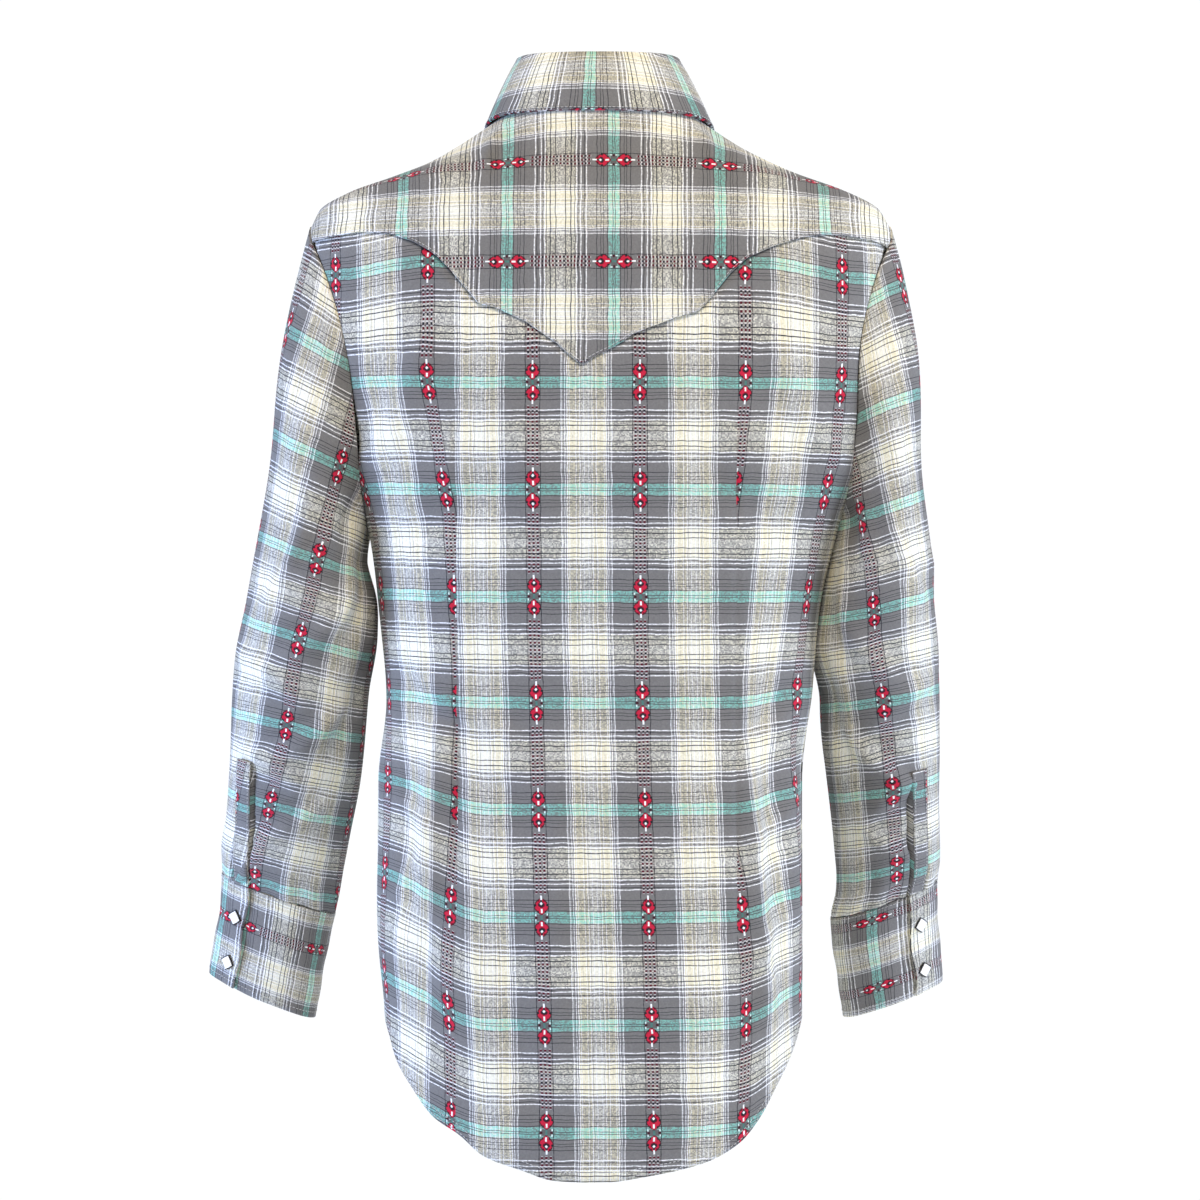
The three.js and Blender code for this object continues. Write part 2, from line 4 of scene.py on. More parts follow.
import bpy
import numpy as np
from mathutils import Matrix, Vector


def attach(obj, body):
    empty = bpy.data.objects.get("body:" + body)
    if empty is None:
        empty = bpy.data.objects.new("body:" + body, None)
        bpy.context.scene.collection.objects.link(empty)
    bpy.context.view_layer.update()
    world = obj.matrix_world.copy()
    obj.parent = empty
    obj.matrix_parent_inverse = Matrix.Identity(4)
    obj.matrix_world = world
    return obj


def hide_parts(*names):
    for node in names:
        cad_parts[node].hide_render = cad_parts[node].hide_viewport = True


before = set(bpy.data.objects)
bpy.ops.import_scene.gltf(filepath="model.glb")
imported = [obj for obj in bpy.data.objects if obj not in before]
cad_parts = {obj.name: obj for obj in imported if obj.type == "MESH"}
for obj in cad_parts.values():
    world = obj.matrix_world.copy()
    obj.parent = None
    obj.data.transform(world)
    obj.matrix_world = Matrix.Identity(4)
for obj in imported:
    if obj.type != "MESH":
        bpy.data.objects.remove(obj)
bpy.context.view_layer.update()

bl_info = {
    "name": "Western Snap Shirt",
    "version": (1, 0, 0),
    "blender": (4, 5, 0),
    "location": "View3D > Sidebar > Shirt",
    "description": "Builds a worn western shirt in yarn-dyed plaid, piece by piece",
    "category": "Object",
}

MM = 0.001
REPEAT = 78   # millimetres of one repeat of the plaid, both ways


# ---- tables ----
def table(columns, *rows):
    """A short table with named columns."""
    return {name: np.array([row[i] for row in rows], float) for i, name in enumerate(columns.split())}


def read(rows, key, column, at):
    """Reads a column with a smooth curve through its rows that never overshoots them."""
    x, y = rows[key], rows[column]
    if x[0] > x[-1]:
        x, y = x[::-1], y[::-1]
    width = np.diff(x)
    slope = np.diff(y) / width
    tangent = np.zeros_like(y)
    tangent[0], tangent[-1] = slope[0], slope[-1]
    same = slope[:-1] * slope[1:] > 0
    total = np.where(same, slope[:-1] + slope[1:], 1)
    tangent[1:-1] = np.where(same, 2 * slope[:-1] * slope[1:] / total, 0)
    at = np.clip(at, x[0], x[-1])
    i = np.clip(np.searchsorted(x, at) - 1, 0, len(x) - 2)
    t = (at - x[i]) / width[i]
    return ((2 * t**3 - 3 * t**2 + 1) * y[i] + (t**3 - 2 * t**2 + t) * width[i] * tangent[i]
            + (3 * t**2 - 2 * t**3) * y[i + 1] + (t**3 - t**2) * width[i] * tangent[i + 1])


def straight(rows, key, column, at):
    """Reads a column with straight lines between its rows, so corners stay sharp."""
    order = np.argsort(rows[key])
    return np.interp(at, rows[key][order], rows[column][order])


# The form, a row for each level: half widths, depths, squareness, climb to the back, fall to
# the front. All lengths in the tables are millimetres.
FORM = table(
    "z left right back front square rise drop",
    (-4, 66, 66, 62, 68, 2.0, 4, 66),
    (-12, 84, 85, 68, 76, 2.0, 4, 66),
    (-31, 108, 110, 74, 85, 2.0, 5, 64),
    (-44, 131, 136, 78, 90, 2.0, 5, 62),
    (-54, 159, 158, 82, 94, 2.05, 5, 60),
    (-65, 190, 188, 86, 98, 2.1, 5, 57),
    (-79, 212, 214, 90, 102, 2.15, 4, 52),
    (-108, 221, 226, 95, 107, 2.2, 2, 38),
    (-150, 218, 224, 101, 113, 2.3, 0, 20),
    (-225, 205, 218, 104, 119, 2.4, 0, 6),
    (-274, 191, 203, 102, 119, 2.4, 0, 0),
    (-321, 174, 181, 98, 117, 2.4, 0, 0),
    (-375, 167, 169, 91, 112, 2.4, 0, 0),
    (-450, 160, 161, 86, 108, 2.4, 0, 0),
    (-510, 166, 155, 90, 108, 2.4, 0, 0),
    (-570, 167, 155, 97, 108, 2.4, 0, 0),
    (-630, 166, 155, 102, 106, 2.4, 0, 0),
    (-700, 161, 154, 105, 104, 2.4, 0, 0),
    (-800, 158, 152, 105, 102, 2.4, 0, 0))
NECK_LEVEL = -4
UNDERARM = -321
ARMHOLE = {"y": -6, "z": -205, "half_depth": 66, "half_height": 116}

YOKE_SEAM = table(
    "across z",
    (0, -104.5), (0.084, -103), (0.164, -101.5), (0.217, -103.5), (0.252, -110.5),
    (0.275, -118.5), (0.293, -129), (0.313, -143), (0.334, -156.5), (0.359, -159.5),
    (0.407, -170), (0.452, -186), (0.484, -202), (0.502, -193.5), (0.541, -178.5),
    (0.589, -168.5), (0.628, -163), (0.641, -158), (0.673, -135), (0.694, -123.5), (0.731, -114),
    (0.775, -106.5), (0.803, -104), (0.847, -103.5), (0.945, -106), (1, -109))
TAIL = table(
    "across z",
    (0, -686), (0.075, -698), (0.12, -714.5), (0.185, -733.5), (0.245, -753), (0.302, -764.5),
    (0.348, -779), (0.407, -788), (0.456, -795.5), (0.5, -796.5), (0.556, -792.5),
    (0.649, -783.5), (0.716, -771.5), (0.766, -754.5), (0.817, -731.5), (0.889, -706.5),
    (0.941, -693), (1, -686))
FRONT_TAIL_RISE = 0.84
YOKE_FRONT_TURN = -30

# Sleeve rings: widest and nearest point to the body, middle, half depth, fall to the body.
SLEEVE_COLUMNS = "z out in y deep cant"
SLEEVES = {
    "left": table(
        SLEEVE_COLUMNS,
        (-345, 261, 176, -2, 64, 0), (-375, 267, 172, -4, 63, 0), (-415, 275, 173.5, -12, 61, 0.05),
        (-450, 278.5, 177, -22, 59, 0.1), (-500, 283, 184, -40, 55, 0.2),
        (-550, 288, 195, -60, 51, 0.28), (-585, 294, 203, -74, 46, 0.34),
        (-603, 294, 207.5, -81, 40, 0.36), (-686, 307, 225, -110, 38, 0.44)),
    "right": table(
        SLEEVE_COLUMNS,
        (-345, 255, 182, -2, 64, 0), (-375, 256, 175, -4, 63, 0), (-415, 259, 169, -12, 61, 0.05),
        (-450, 261, 170.5, -22, 59, 0.1), (-500, 263, 177, -40, 55, 0.2),
        (-550, 265, 184, -60, 51, 0.28), (-588, 267, 187, -75, 46, 0.34),
        (-608, 265, 184, -82, 40, 0.36), (-689, 272, 195, -111, 38, 0.38))}
SIDE = {"left": 1, "right": -1}

# How the cloth's repeat runs on the body. The darts take in cloth, so the pattern jumps there.
DART = {"left": 104, "right": -102}
DART_INTAKE = table(
    "z left right",
    (-225, 0, 0), (-293, 12, 8), (-366, 18.5, 16), (-450, 20.5, 23), (-520, 17, 19),
    (-598, 9, 8), (-664, 5, 4), (-760, 6, 8))
# How far the side seams pull the cross stripes up, and the tilt of the grain down the back.
GRAIN = table(
    "z lift_left lift_right middle",
    (-100, 3, 0, 8.7), (-371, 2, 0, 7.5), (-447, 5, 6, 6), (-525, 24, 12, 4), (-602, 29, 15, 1.5),
    (-678, 28, 20, -0.5), (-755, 27, 24, -2))
# How much cloth the soft folds beside the darts swallow, nearer to the side seams.
TUCKED = table(
    "z left right",
    (-380, 0, 1), (-445, 3, 6), (-510, 12, 14), (-580, 11, 12), (-650, 5, 5), (-730, 1, 0))


# ---- settings ----
def linear(code):
    """An sRGB hex colour as linear red, green and blue."""
    parts = [int(code[i:i + 2], 16) / 255 for i in (1, 3, 5)]
    return tuple(p / 12.92 if p <= 0.04045 else ((p + 0.055) / 1.055) ** 2.4 for p in parts)


class ShirtSizes(bpy.types.PropertyGroup):
    """Sizes that change the look of the cloth."""
    repeat: bpy.props.FloatProperty(
        name="Plaid repeat", description="One repeat of the plaid, both ways", default=REPEAT * MM,
        unit="LENGTH")
    wall: bpy.props.FloatProperty(
        name="Cloth", description="Thickness of one layer of cloth", default=0.9 * MM,
        unit="LENGTH")
    stitch: bpy.props.FloatProperty(
        name="Stitch", description="Length of one stitch with its gap", default=3.2 * MM,
        unit="LENGTH")


def colour(name, description, code):
    return bpy.props.FloatVectorProperty(
        name=name, description=description, default=linear(code), subtype="COLOR", min=0, max=1)


class ShirtColours(bpy.types.PropertyGroup):
    """Yarn and trim colours."""
    grey: colour("Grey yarn", "Ground of the dark bands", "#7e7c7a")
    cream: colour("Cream yarn", "Warp of the light bands", "#f4eac6")
    chalk: colour("Chalk yarn", "Weft of the light bands", "#f3efd8")
    turquoise: colour("Turquoise yarn", "Weft of the coloured stripe", "#84d4c4")
    ink: colour("Ink yarn", "Thin dark stripes", "#26262c")
    white: colour("White yarn", "Thin white stripes and stitches", "#ffffff")
    red: colour("Red yarn", "The woven figures", "#cc2440")
    maroon: colour("Maroon yarn", "Dots between the figures", "#5c1424")
    pearl: colour("Pearl", "Snap caps", "#f7f5ee")


# ---- the form ----
def unit(v):
    return v / np.maximum(np.linalg.norm(v, axis=-1, keepdims=True), 1e-9)


def mix(a, b, t):
    return a + (b - a) * t


def smooth(t):
    t = np.clip(t, 0, 1)
    return t * t * (3 - 2 * t)


def bell(x, middle, width):
    """1 at the middle, fading away on both sides over the width."""
    return np.exp(-((x - middle) / width) ** 2)


def cos_sin(turn):
    return np.cos(np.radians(turn)), np.sin(np.radians(turn))


def mirrored(turn, side):
    """A turn on the wearer's left, or the same place on the right."""
    return turn if side > 0 else 180 - turn


def sample(field, row, column):
    """Reads a grid of values between its points."""
    i, j = np.clip(row, 0, field.shape[0] - 1.001), np.clip(column, 0, field.shape[1] - 1.001)
    a, b = i.astype(int), j.astype(int)
    fa, fb = i - a, j - b
    top = field[a, b] * (1 - fb) + field[a, b + 1] * fb
    low = field[a + 1, b] * (1 - fb) + field[a + 1, b + 1] * fb
    return top * (1 - fa) + low * fa


def form(column, level):
    return read(FORM, "z", column, level)


def half_width(x, level):
    return np.where(x >= 0, form("left", level), form("right", level))


def form_point(turn, level):
    """A point of the form. turn: 0 at the wearer's left side, 90 at the back, 180 at the right."""
    turn, level = np.broadcast_arrays(np.asarray(turn, float), np.asarray(level, float))
    c, s = cos_sin(turn)
    power = 2 / form("square", level)
    depth = np.where(s >= 0, form("back", level), form("front", level))
    lift = np.where(s >= 0, form("rise", level), -form("drop", level))
    return np.stack([half_width(c, level) * np.sign(c) * np.abs(c) ** power,
                     depth * np.sign(s) * np.abs(s) ** power, level + lift * s * s], -1)


def form_normal(turn, level):
    around = form_point(turn + 0.5, level) - form_point(turn - 0.5, level)
    down = form_point(turn, level - 1) - form_point(turn, level + 1)
    return unit(np.cross(down, around))


def lifted(turn, level, height):
    return form_point(turn, level) + form_normal(turn, level) * np.asarray(height)[..., None]


def turn_at(x, level):
    """The turn on the back half of the form at which it is x to the wearer's left."""
    cosine = np.minimum(1, abs(x) / half_width(x, level)) ** (form("square", level) / 2)
    return mirrored(np.degrees(np.arccos(cosine)), x)


def bisect(low, high, is_low):
    """Halves the span between two limits until it closes on where is_low changes."""
    for _ in range(30):
        middle = (low + high) / 2
        under = is_low(middle)
        low, high = np.where(under, middle, low), np.where(under, high, middle)
    return low, high


def armhole_turn(level, side, to_back):
    """The turn at which the form crosses the armhole's edge, or 0, the side seam, below it."""
    level = np.asarray(level, float)
    rise = (level - ARMHOLE["z"]) / ARMHOLE["half_height"]
    inside = np.abs(rise) < 1
    edge = ARMHOLE["y"] + to_back * ARMHOLE["half_depth"] * np.sqrt(np.where(inside, 1 - rise**2, 0))
    low, high = bisect(np.full(level.shape, -80.0), np.full(level.shape, 80.0),
                       lambda turn: form_point(mirrored(turn, side), level)[..., 1] < edge)
    return np.where(inside, (low + high) / 2, 0)


def armhole_level(turn, side):
    """The height at which a line of the form, at one turn, meets the top of the armhole."""
    turn = np.asarray(turn, float)

    def inside(level):
        depth = (form_point(mirrored(turn, side), level)[..., 1] - ARMHOLE["y"]) / ARMHOLE["half_depth"]
        return depth**2 + ((level - ARMHOLE["z"]) / ARMHOLE["half_height"]) ** 2 < 1

    return bisect(np.full(turn.shape, float(ARMHOLE["z"])), np.full(turn.shape, -60.0), inside)[1]


# Lengths round the form at each level, for the pattern, from the middle of the back.
LEVEL_STEP, TURN_STEP = 4.0, 1.5
LEVELS = np.arange(-800, -3.0, LEVEL_STEP)
TURNS = np.arange(-90, 271, TURN_STEP)


def round_lengths():
    points = form_point(TURNS[None, :], LEVELS[:, None])
    steps = np.linalg.norm(np.diff(points, axis=1), axis=-1)
    lengths = np.concatenate([np.zeros((len(LEVELS), 1)), np.cumsum(steps, axis=1)], axis=1)
    middle = np.argmin(np.abs(TURNS - 90))
    return lengths - lengths[:, middle:middle + 1]


ROUND = round_lengths()


def length_round(turn, level):
    """Length along a level from the middle of the back, growing to the wearer's right."""
    return sample(ROUND, (level - LEVELS[0]) / LEVEL_STEP, (turn - TURNS[0]) / TURN_STEP)


# ---- folds ----
# Where a fold starts and ends, how far it bows sideways, its half width and its height.
FOLD = "x0 z0 x1 z1 bend wide high"


def fold_heights(folds, x, z):
    """Heights of hand-placed folds at places x, z of a panel: a ridge with a trough beside it."""
    total = np.zeros(np.broadcast(x, z).shape)
    for x0, z0, x1, z1, bend, wide, high in zip(*folds.values()):
        along = np.array([x1 - x0, z1 - z0])
        length = math.hypot(*along)
        along = along / length
        t = ((x - x0) * along[0] + (z - z0) * along[1]) / length
        off = (x - x0) * -along[1] + (z - z0) * along[0]
        off = off - bend * 4 * t * (1 - t)
        taper = smooth(t / 0.35 + 0.2) * smooth((1 - t) / 0.35 + 0.2)
        taper = np.where((t < -0.07) | (t > 1.07), 0, taper)
        shape = bell(off, 0, wide) - 0.5 * bell(off, -1.7 * wide, wide)
        total = total + high * shape * taper
    return total


def ripple(x, z, size, high, seed):
    """A slow unevenness that keeps a panel from looking pressed."""
    rng = np.random.default_rng(seed)
    total = np.zeros(np.broadcast(x, z).shape)
    for _ in range(7):
        angle, phase = rng.uniform(0, math.pi), rng.uniform(0, 2 * math.pi)
        wave = size * rng.uniform(0.7, 1.6)
        total = total + np.sin((x * math.cos(angle) + z * math.sin(angle)) * 2 * math.pi / wave + phase)
    return total * high / 2.6


# ---- meshes ----
surfaces = {}


def grid_normals(grid, looped):
    if looped:
        across = np.roll(grid, -1, axis=1) - np.roll(grid, 1, axis=1)
    else:
        across = np.gradient(grid, axis=1)
    return unit(np.cross(across, np.gradient(grid, axis=0)))


def new_object(name, vertices, faces, material, smooth_faces=None, corner_uv=None):
    """One object from arrays of millimetre points and four-sided faces."""
    mesh = bpy.data.meshes.new(name)
    mesh.from_pydata((vertices * MM).tolist(), [], faces.tolist())
    if corner_uv is not None:
        layer = mesh.uv_layers.new(name="Cloth")
        layer.data.foreach_set("uv", (corner_uv * MM).astype(np.float32).ravel())
    if smooth_faces is None:
        smooth_faces = np.ones(len(faces), bool)
    mesh.polygons.foreach_set("use_smooth", smooth_faces)
    mesh.materials.append(material)
    mesh.update()
    obj = bpy.data.objects.new(name, mesh)
    bpy.context.scene.collection.objects.link(obj)
    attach(obj, "root")
    return obj


def cloth_wall(name, grid, uv, looped=False, wall=None, jumps=(), heights=None, outward=None):
    """A closed thin wall on a grid of middle points. A jump (column, amounts) moves the pattern
    from that column on. The outer surface is kept by name for stitches and trims."""
    wall = wall or bpy.context.scene.shirt_sizes.wall / MM
    normals = grid_normals(grid, looped)
    probe = grid[grid.shape[0] // 2, grid.shape[1] // 3]
    if outward is None:
        outward = probe * np.array([1, 1, 0])
    if np.dot(normals[grid.shape[0] // 2, grid.shape[1] // 3], outward) < 0:
        normals = -normals
    if heights is not None:
        grid = grid + normals * heights[..., None]
        fresh = grid_normals(grid, looped)
        normals = np.where(np.sum(fresh * normals, -1, keepdims=True) < 0, -fresh, fresh)
    outer, inner = grid + normals * wall / 2, grid - normals * wall / 2
    rows, columns = grid.shape[:2]
    ids = np.arange(rows * columns).reshape(rows, columns)
    if looped:
        ids = np.concatenate([ids, ids[:, :1]], axis=1)
    a, b, c, d = ids[:-1, :-1], ids[:-1, 1:], ids[1:, 1:], ids[1:, :-1]
    corners = np.stack([a, b, c, d], -1)
    places = np.stack([uv[:-1, :-1], uv[:-1, 1:], uv[1:, 1:], uv[1:, :-1]], -2)
    for column, amounts in jumps:
        places[:, column:, 0:2, 0] += amounts[:-1, None, None]
        places[:, column:, 2:4, 0] += amounts[1:, None, None]
    count = rows * columns
    faces = [corners.reshape(-1, 4), corners.reshape(-1, 4)[:, ::-1] + count]
    corner_uv = [places.reshape(-1, 4, 2), places.reshape(-1, 4, 2)[:, ::-1]]
    rims = [(ids[0, :-1], ids[0, 1:], places[0, :, 0:1].repeat(4, 1), True),
            (ids[-1, :-1], ids[-1, 1:], places[-1, :, 2:3].repeat(4, 1), False)]
    if not looped:
        rims += [(ids[:-1, 0], ids[1:, 0], places[:, 0, 0:1].repeat(4, 1), False),
                 (ids[:-1, -1], ids[1:, -1], places[:, -1, 1:2].repeat(4, 1), True)]
    for start, end, place, turned in rims:
        rim = np.stack([start, start + count, end + count, end], -1)
        faces.append(rim if turned else rim[:, ::-1])
        corner_uv.append(place)
    vertices = np.concatenate([outer.reshape(-1, 3), inner.reshape(-1, 3)])
    smooth_faces = np.concatenate([np.full(len(part), i < 2) for i, part in enumerate(faces)])
    faces, corner_uv = np.concatenate(faces), np.concatenate(corner_uv)
    p = vertices[faces]
    volume = np.sum(np.cross(p[:, 1] - p[:, 0], p[:, 2] - p[:, 0]) * p[:, 0])
    volume += np.sum(np.cross(p[:, 2] - p[:, 0], p[:, 3] - p[:, 0]) * p[:, 0])
    if volume < 0:
        faces, corner_uv = faces[:, ::-1], corner_uv[:, ::-1]
    obj = new_object(name, vertices, faces, materials("plaid"),
                     smooth_faces, corner_uv.reshape(-1, 2))
    surfaces[name] = (outer, normals)
    return obj


def inset(name, edge, distance):
    """A line on a piece's outer surface, at a distance from one of its edges."""
    outer, normals = surfaces[name]
    if edge in ("left", "right"):
        outer, normals = outer.swapaxes(0, 1), normals.swapaxes(0, 1)
    if edge in ("right", "last"):
        outer, normals = outer[::-1], normals[::-1]
    steps = np.linalg.norm(np.diff(outer, axis=0), axis=-1)
    length = np.concatenate([np.zeros((1, outer.shape[1])), np.cumsum(steps, axis=0)])
    row = np.argmax(length > distance, axis=0).clip(1)
    column = np.arange(outer.shape[1])
    t = ((distance - length[row - 1, column]) / steps[row - 1, column])[:, None]
    return (mix(outer[row - 1, column], outer[row, column], t),
            unit(mix(normals[row - 1, column], normals[row, column], t)))


def stitch_arrays(path, normals, pitch, thick=0.42, fill=0.7):
    """Short threads laid along a path, each a slim six-sided bead."""
    steps = np.linalg.norm(np.diff(path, axis=0), axis=-1)
    length = np.concatenate([[0], np.cumsum(steps)])
    count = max(1, int(length[-1] / pitch))
    starts = (np.arange(count) + 0.15) * length[-1] / count

    def at(distance):
        return np.stack([np.interp(distance, length, path[:, k]) for k in range(3)], -1)

    begin, end = at(starts), at(starts + fill * length[-1] / count)
    up = unit(np.stack([np.interp(starts, length, normals[:, k]) for k in range(3)], -1))
    along = unit(end - begin)
    side = np.cross(along, up)
    rings = []
    for part, size in ((0.0, 0.3), (0.25, 1.0), (0.75, 1.0), (1.0, 0.3)):
        centre = mix(begin, end, part) + up * thick * (0.35 if size < 1 else 0.6)
        for k in range(6):
            angle = k * math.pi / 3
            rings.append(centre + (side * math.cos(angle) + up * math.sin(angle)) * thick / 2 * size)
    vertices = np.stack(rings, 1)
    faces = []
    for ring in range(3):
        for k in range(6):
            a, b = ring * 6 + k, ring * 6 + (k + 1) % 6
            faces.append((a, b, b + 6, a + 6))
    faces += [(3, 2, 1, 0), (5, 4, 3, 0), (18, 19, 20, 21), (18, 21, 22, 23)]
    faces = np.array(faces)[None] + (np.arange(count) * 24)[:, None, None]
    return vertices.reshape(-1, 3), faces.reshape(-1, 4)


def stitch_object(name, paths):
    """All stitches of one kind as one object."""
    pitch = bpy.context.scene.shirt_sizes.stitch / MM
    vertices, faces, offset = [], [], 0
    for path, normals in paths:
        v, f = stitch_arrays(path, normals, pitch)
        vertices.append(v)
        faces.append(f + offset)
        offset += len(v)
    return new_object(name, np.concatenate(vertices), np.concatenate(faces),
                      materials("thread"))


# ---- materials ----
class Nodes:
    """A material's node tree, with one function that adds a node."""

    def __init__(self, name):
        self.material = bpy.data.materials.new(name)
        self.material.use_nodes = True
        self.tree = self.material.node_tree
        self.tree.nodes.clear()

    def add(self, kind, inputs=None, **settings):
        """Adds a node, sets its properties, then its inputs: a value, or a socket to link."""
        node = self.tree.nodes.new(kind)
        for key, value in settings.items():
            setattr(node, key, value)
        for key, value in (inputs or {}).items():
            if isinstance(value, bpy.types.NodeSocket):
                self.tree.links.new(value, node.inputs[key])
            else:
                node.inputs[key].default_value = value
        return node

    def maths(self, operation, a, b=0.0, c=0.0):
        node = self.add("ShaderNodeMath", {0: a, 1: b, 2: c}, operation=operation)
        return node.outputs[0]

    def blend(self, factor, a, b):
        node = self.add("ShaderNodeMix", {0: factor, 6: a, 7: b}, data_type="RGBA")
        return node.outputs[2]

    def bands(self, position, stops):
        """A ramp of flat bands. stops: where each starts, from 0 to 1, its colour, its weight."""
        node = self.add("ShaderNodeValToRGB", {0: position})
        ramp = node.color_ramp
        ramp.interpolation = "CONSTANT"
        while len(ramp.elements) > 1:
            ramp.elements.remove(ramp.elements[-1])
        ramp.elements[0].position = 0
        ramp.elements[0].color = (*stops[0][1], stops[0][2])
        for start, shade, weight in stops[1:]:
            ramp.elements.new(start).color = (*shade, weight)
        return node.outputs[0], node.outputs[1]


def yarn(name):
    return tuple(getattr(bpy.context.scene.shirt_colours, name))


def between(a, b, t):
    """A yarn colour between two others."""
    return tuple(mix(np.array(a), np.array(b), t))


def bands_from_middles(base, lines, length):
    """Lays thin lines (middle, width, colour) over wide bands (start, colour), all in
    millimetres of a half repeat. A line's yarn lies on top, so it weighs more in the weave."""
    def base_at(place):
        return [shade for start, shade in base if start <= place + 1e-6][-1]
    stops = [(start / length, shade, 0.0) for start, shade in base]
    for middle, width, shade in lines:
        start, end = (middle - width / 2) / length, (middle + width / 2) / length
        stops = [stop for stop in stops if not start <= stop[0] <= end]
        stops += [(max(0, start), shade, 1.0), (end, base_at(end * length), 0.0)]
    return sorted(stops, key=lambda stop: stop[0])


def plaid_material():
    """Yarn-dyed cotton, plain woven with a dobby figure, washed. The eye gets a dry matte cloth
    with grey, cream and turquoise bars, thin ink and white lines, and small red woven figures."""
    n = Nodes("yarn_dyed_cotton_dobby")
    repeat = bpy.context.scene.shirt_sizes.repeat
    half = repeat / MM / 2
    grey, cream, chalk = yarn("grey"), yarn("cream"), yarn("chalk")
    turquoise, ink, white = yarn("turquoise"), yarn("ink"), yarn("white")
    dusk, smoke, mist = between(grey, ink, 0.85), between(grey, white, 0.06), between(grey, white, 0.3)
    snow = between(chalk, white, 0.25)

    place = n.add("ShaderNodeUVMap", uv_map="Cloth").outputs[0]
    waver = n.add("ShaderNodeTexNoise", {"Vector": place, "Scale": 0.09 / MM, "Detail": 1.0})
    shift = n.add("ShaderNodeVectorMath", {0: waver.outputs["Color"], 1: (-0.5, -0.5, -0.5)},
                  operation="ADD").outputs[0]
    shift = n.add("ShaderNodeVectorMath", {0: shift, 3: 0.0016}, operation="SCALE").outputs[0]
    steady = n.add("ShaderNodeVectorMath", {0: place, 1: shift}, operation="ADD").outputs[0]
    uv = n.add("ShaderNodeSeparateXYZ", {0: steady}).outputs
    warp_off = n.maths("PINGPONG", n.maths("DIVIDE", uv[0], repeat), 0.5)
    weft_off = n.maths("PINGPONG", n.maths("DIVIDE", uv[1], repeat), 0.5)

    # Warp stripes from the middle of the figures' column to the middle of the light bar.
    warp, warp_line = n.bands(n.maths("MULTIPLY", warp_off, 2.0), bands_from_middles(
        [(0, grey), (20.4, mist), (24.2, cream), (28.4, between(cream, grey, 0.22)), (29.4, cream),
         (34.9, snow)],
        [(5.2, 0.6, ink), (20.6, 0.6, white), (22.3, 0.35, dusk), (23.2, 0.4, white),
         (24.1, 0.35, dusk), (24.8, 0.7, white), (26.5, 0.4, white), (31.4, 0.4, white),
         (32.4, 0.35, smoke), (34.2, 0.6, white), (35.1, 0.4, smoke), (37.2, 0.5, white)], half))
    # Weft stripes from the middle of the turquoise to the middle of the light bar.
    weft, weft_line = n.bands(n.maths("MULTIPLY", weft_off, 2.0), bands_from_middles(
        [(0, turquoise), (4.0, grey), (25.0, smoke), (27.6, chalk), (35.8, snow)],
        [(0.8, 0.45, dusk), (4.6, 0.6, dusk), (7.6, 0.45, dusk), (9.5, 0.5, dusk),
         (12.4, 0.5, dusk), (20.1, 0.75, white), (21.7, 0.5, dusk), (24.2, 0.75, white),
         (25.9, 0.55, dusk), (27.3, 0.7, white), (28.5, 0.55, ink), (31.4, 0.65, ink),
         (35.3, 0.65, ink)], half))

    # Threads, drawn about twice their real 0.4 mm pitch so that they show at all: at each
    # crossing one yarn lies on top, and uneven slubs let it cover more or less.
    ends = n.maths("FLOOR", n.maths("DIVIDE", uv[0], 0.95 * MM))
    picks = n.maths("FLOOR", n.maths("DIVIDE", uv[1], 0.8 * MM))
    cell = n.add("ShaderNodeCombineXYZ", {0: ends, 1: picks}).outputs[0]
    chance = n.add("ShaderNodeTexWhiteNoise", {"Vector": cell}, noise_dimensions="2D").outputs[0]
    stretch = n.add("ShaderNodeVectorMath", {0: place, 1: (1.0, 3.2, 1.0)},
                    operation="MULTIPLY").outputs[0]
    slub = n.add("ShaderNodeTexNoise", {"Vector": stretch, "Scale": 0.62 / MM, "Detail": 2.0,
                                        "Roughness": 0.7}).outputs[0]
    over = n.maths("MULTIPLY_ADD", chance, 0.62, 0.18)
    over = n.maths("MULTIPLY_ADD", n.maths("SUBTRACT", slub, 0.5), 0.65, over)
    over = n.maths("MULTIPLY_ADD", weft_line, 0.38, over)
    over = n.maths("MULTIPLY_ADD", warp_line, -0.26, over)
    over = n.add("ShaderNodeClamp", {0: over, 1: 0.03, 2: 0.97}).outputs[0]
    # The two yarns mix to the eye, not to a light meter, so they mix as display values.
    as_seen = [n.add("ShaderNodeGamma", {0: shade, 1: 1 / 2.2}).outputs[0] for shade in (warp, weft)]
    ground = n.add("ShaderNodeGamma", {0: n.blend(over, as_seen[0], as_seen[1]), 1: 2.2}).outputs[0]

    # The figures, in millimetres from the middle of one: x across the column, y along it. They
    # are floated in steps of a few threads.
    smooth_x = n.maths("MULTIPLY", warp_off, 2 * half)
    smooth_y = n.maths("MULTIPLY", weft_off, 2 * half)
    x = n.maths("MULTIPLY_ADD", n.maths("FLOOR", n.maths("DIVIDE", smooth_x, 0.5)), 0.5, 0.25)
    y = n.maths("MULTIPLY_ADD", n.maths("FLOOR", n.maths("DIVIDE", smooth_y, 0.65)), 0.65, 0.3)

    def lozenge(middle, wide, tall, power=1.0):
        """1 inside a lozenge round (0, middle), 0 outside."""
        a = n.maths("POWER", n.maths("DIVIDE", x, wide), power)
        b = n.maths("ABSOLUTE", n.maths("DIVIDE", n.maths("SUBTRACT", y, middle), tall))
        return n.maths("LESS_THAN", n.maths("ADD", a, n.maths("POWER", b, power)), 1.0)

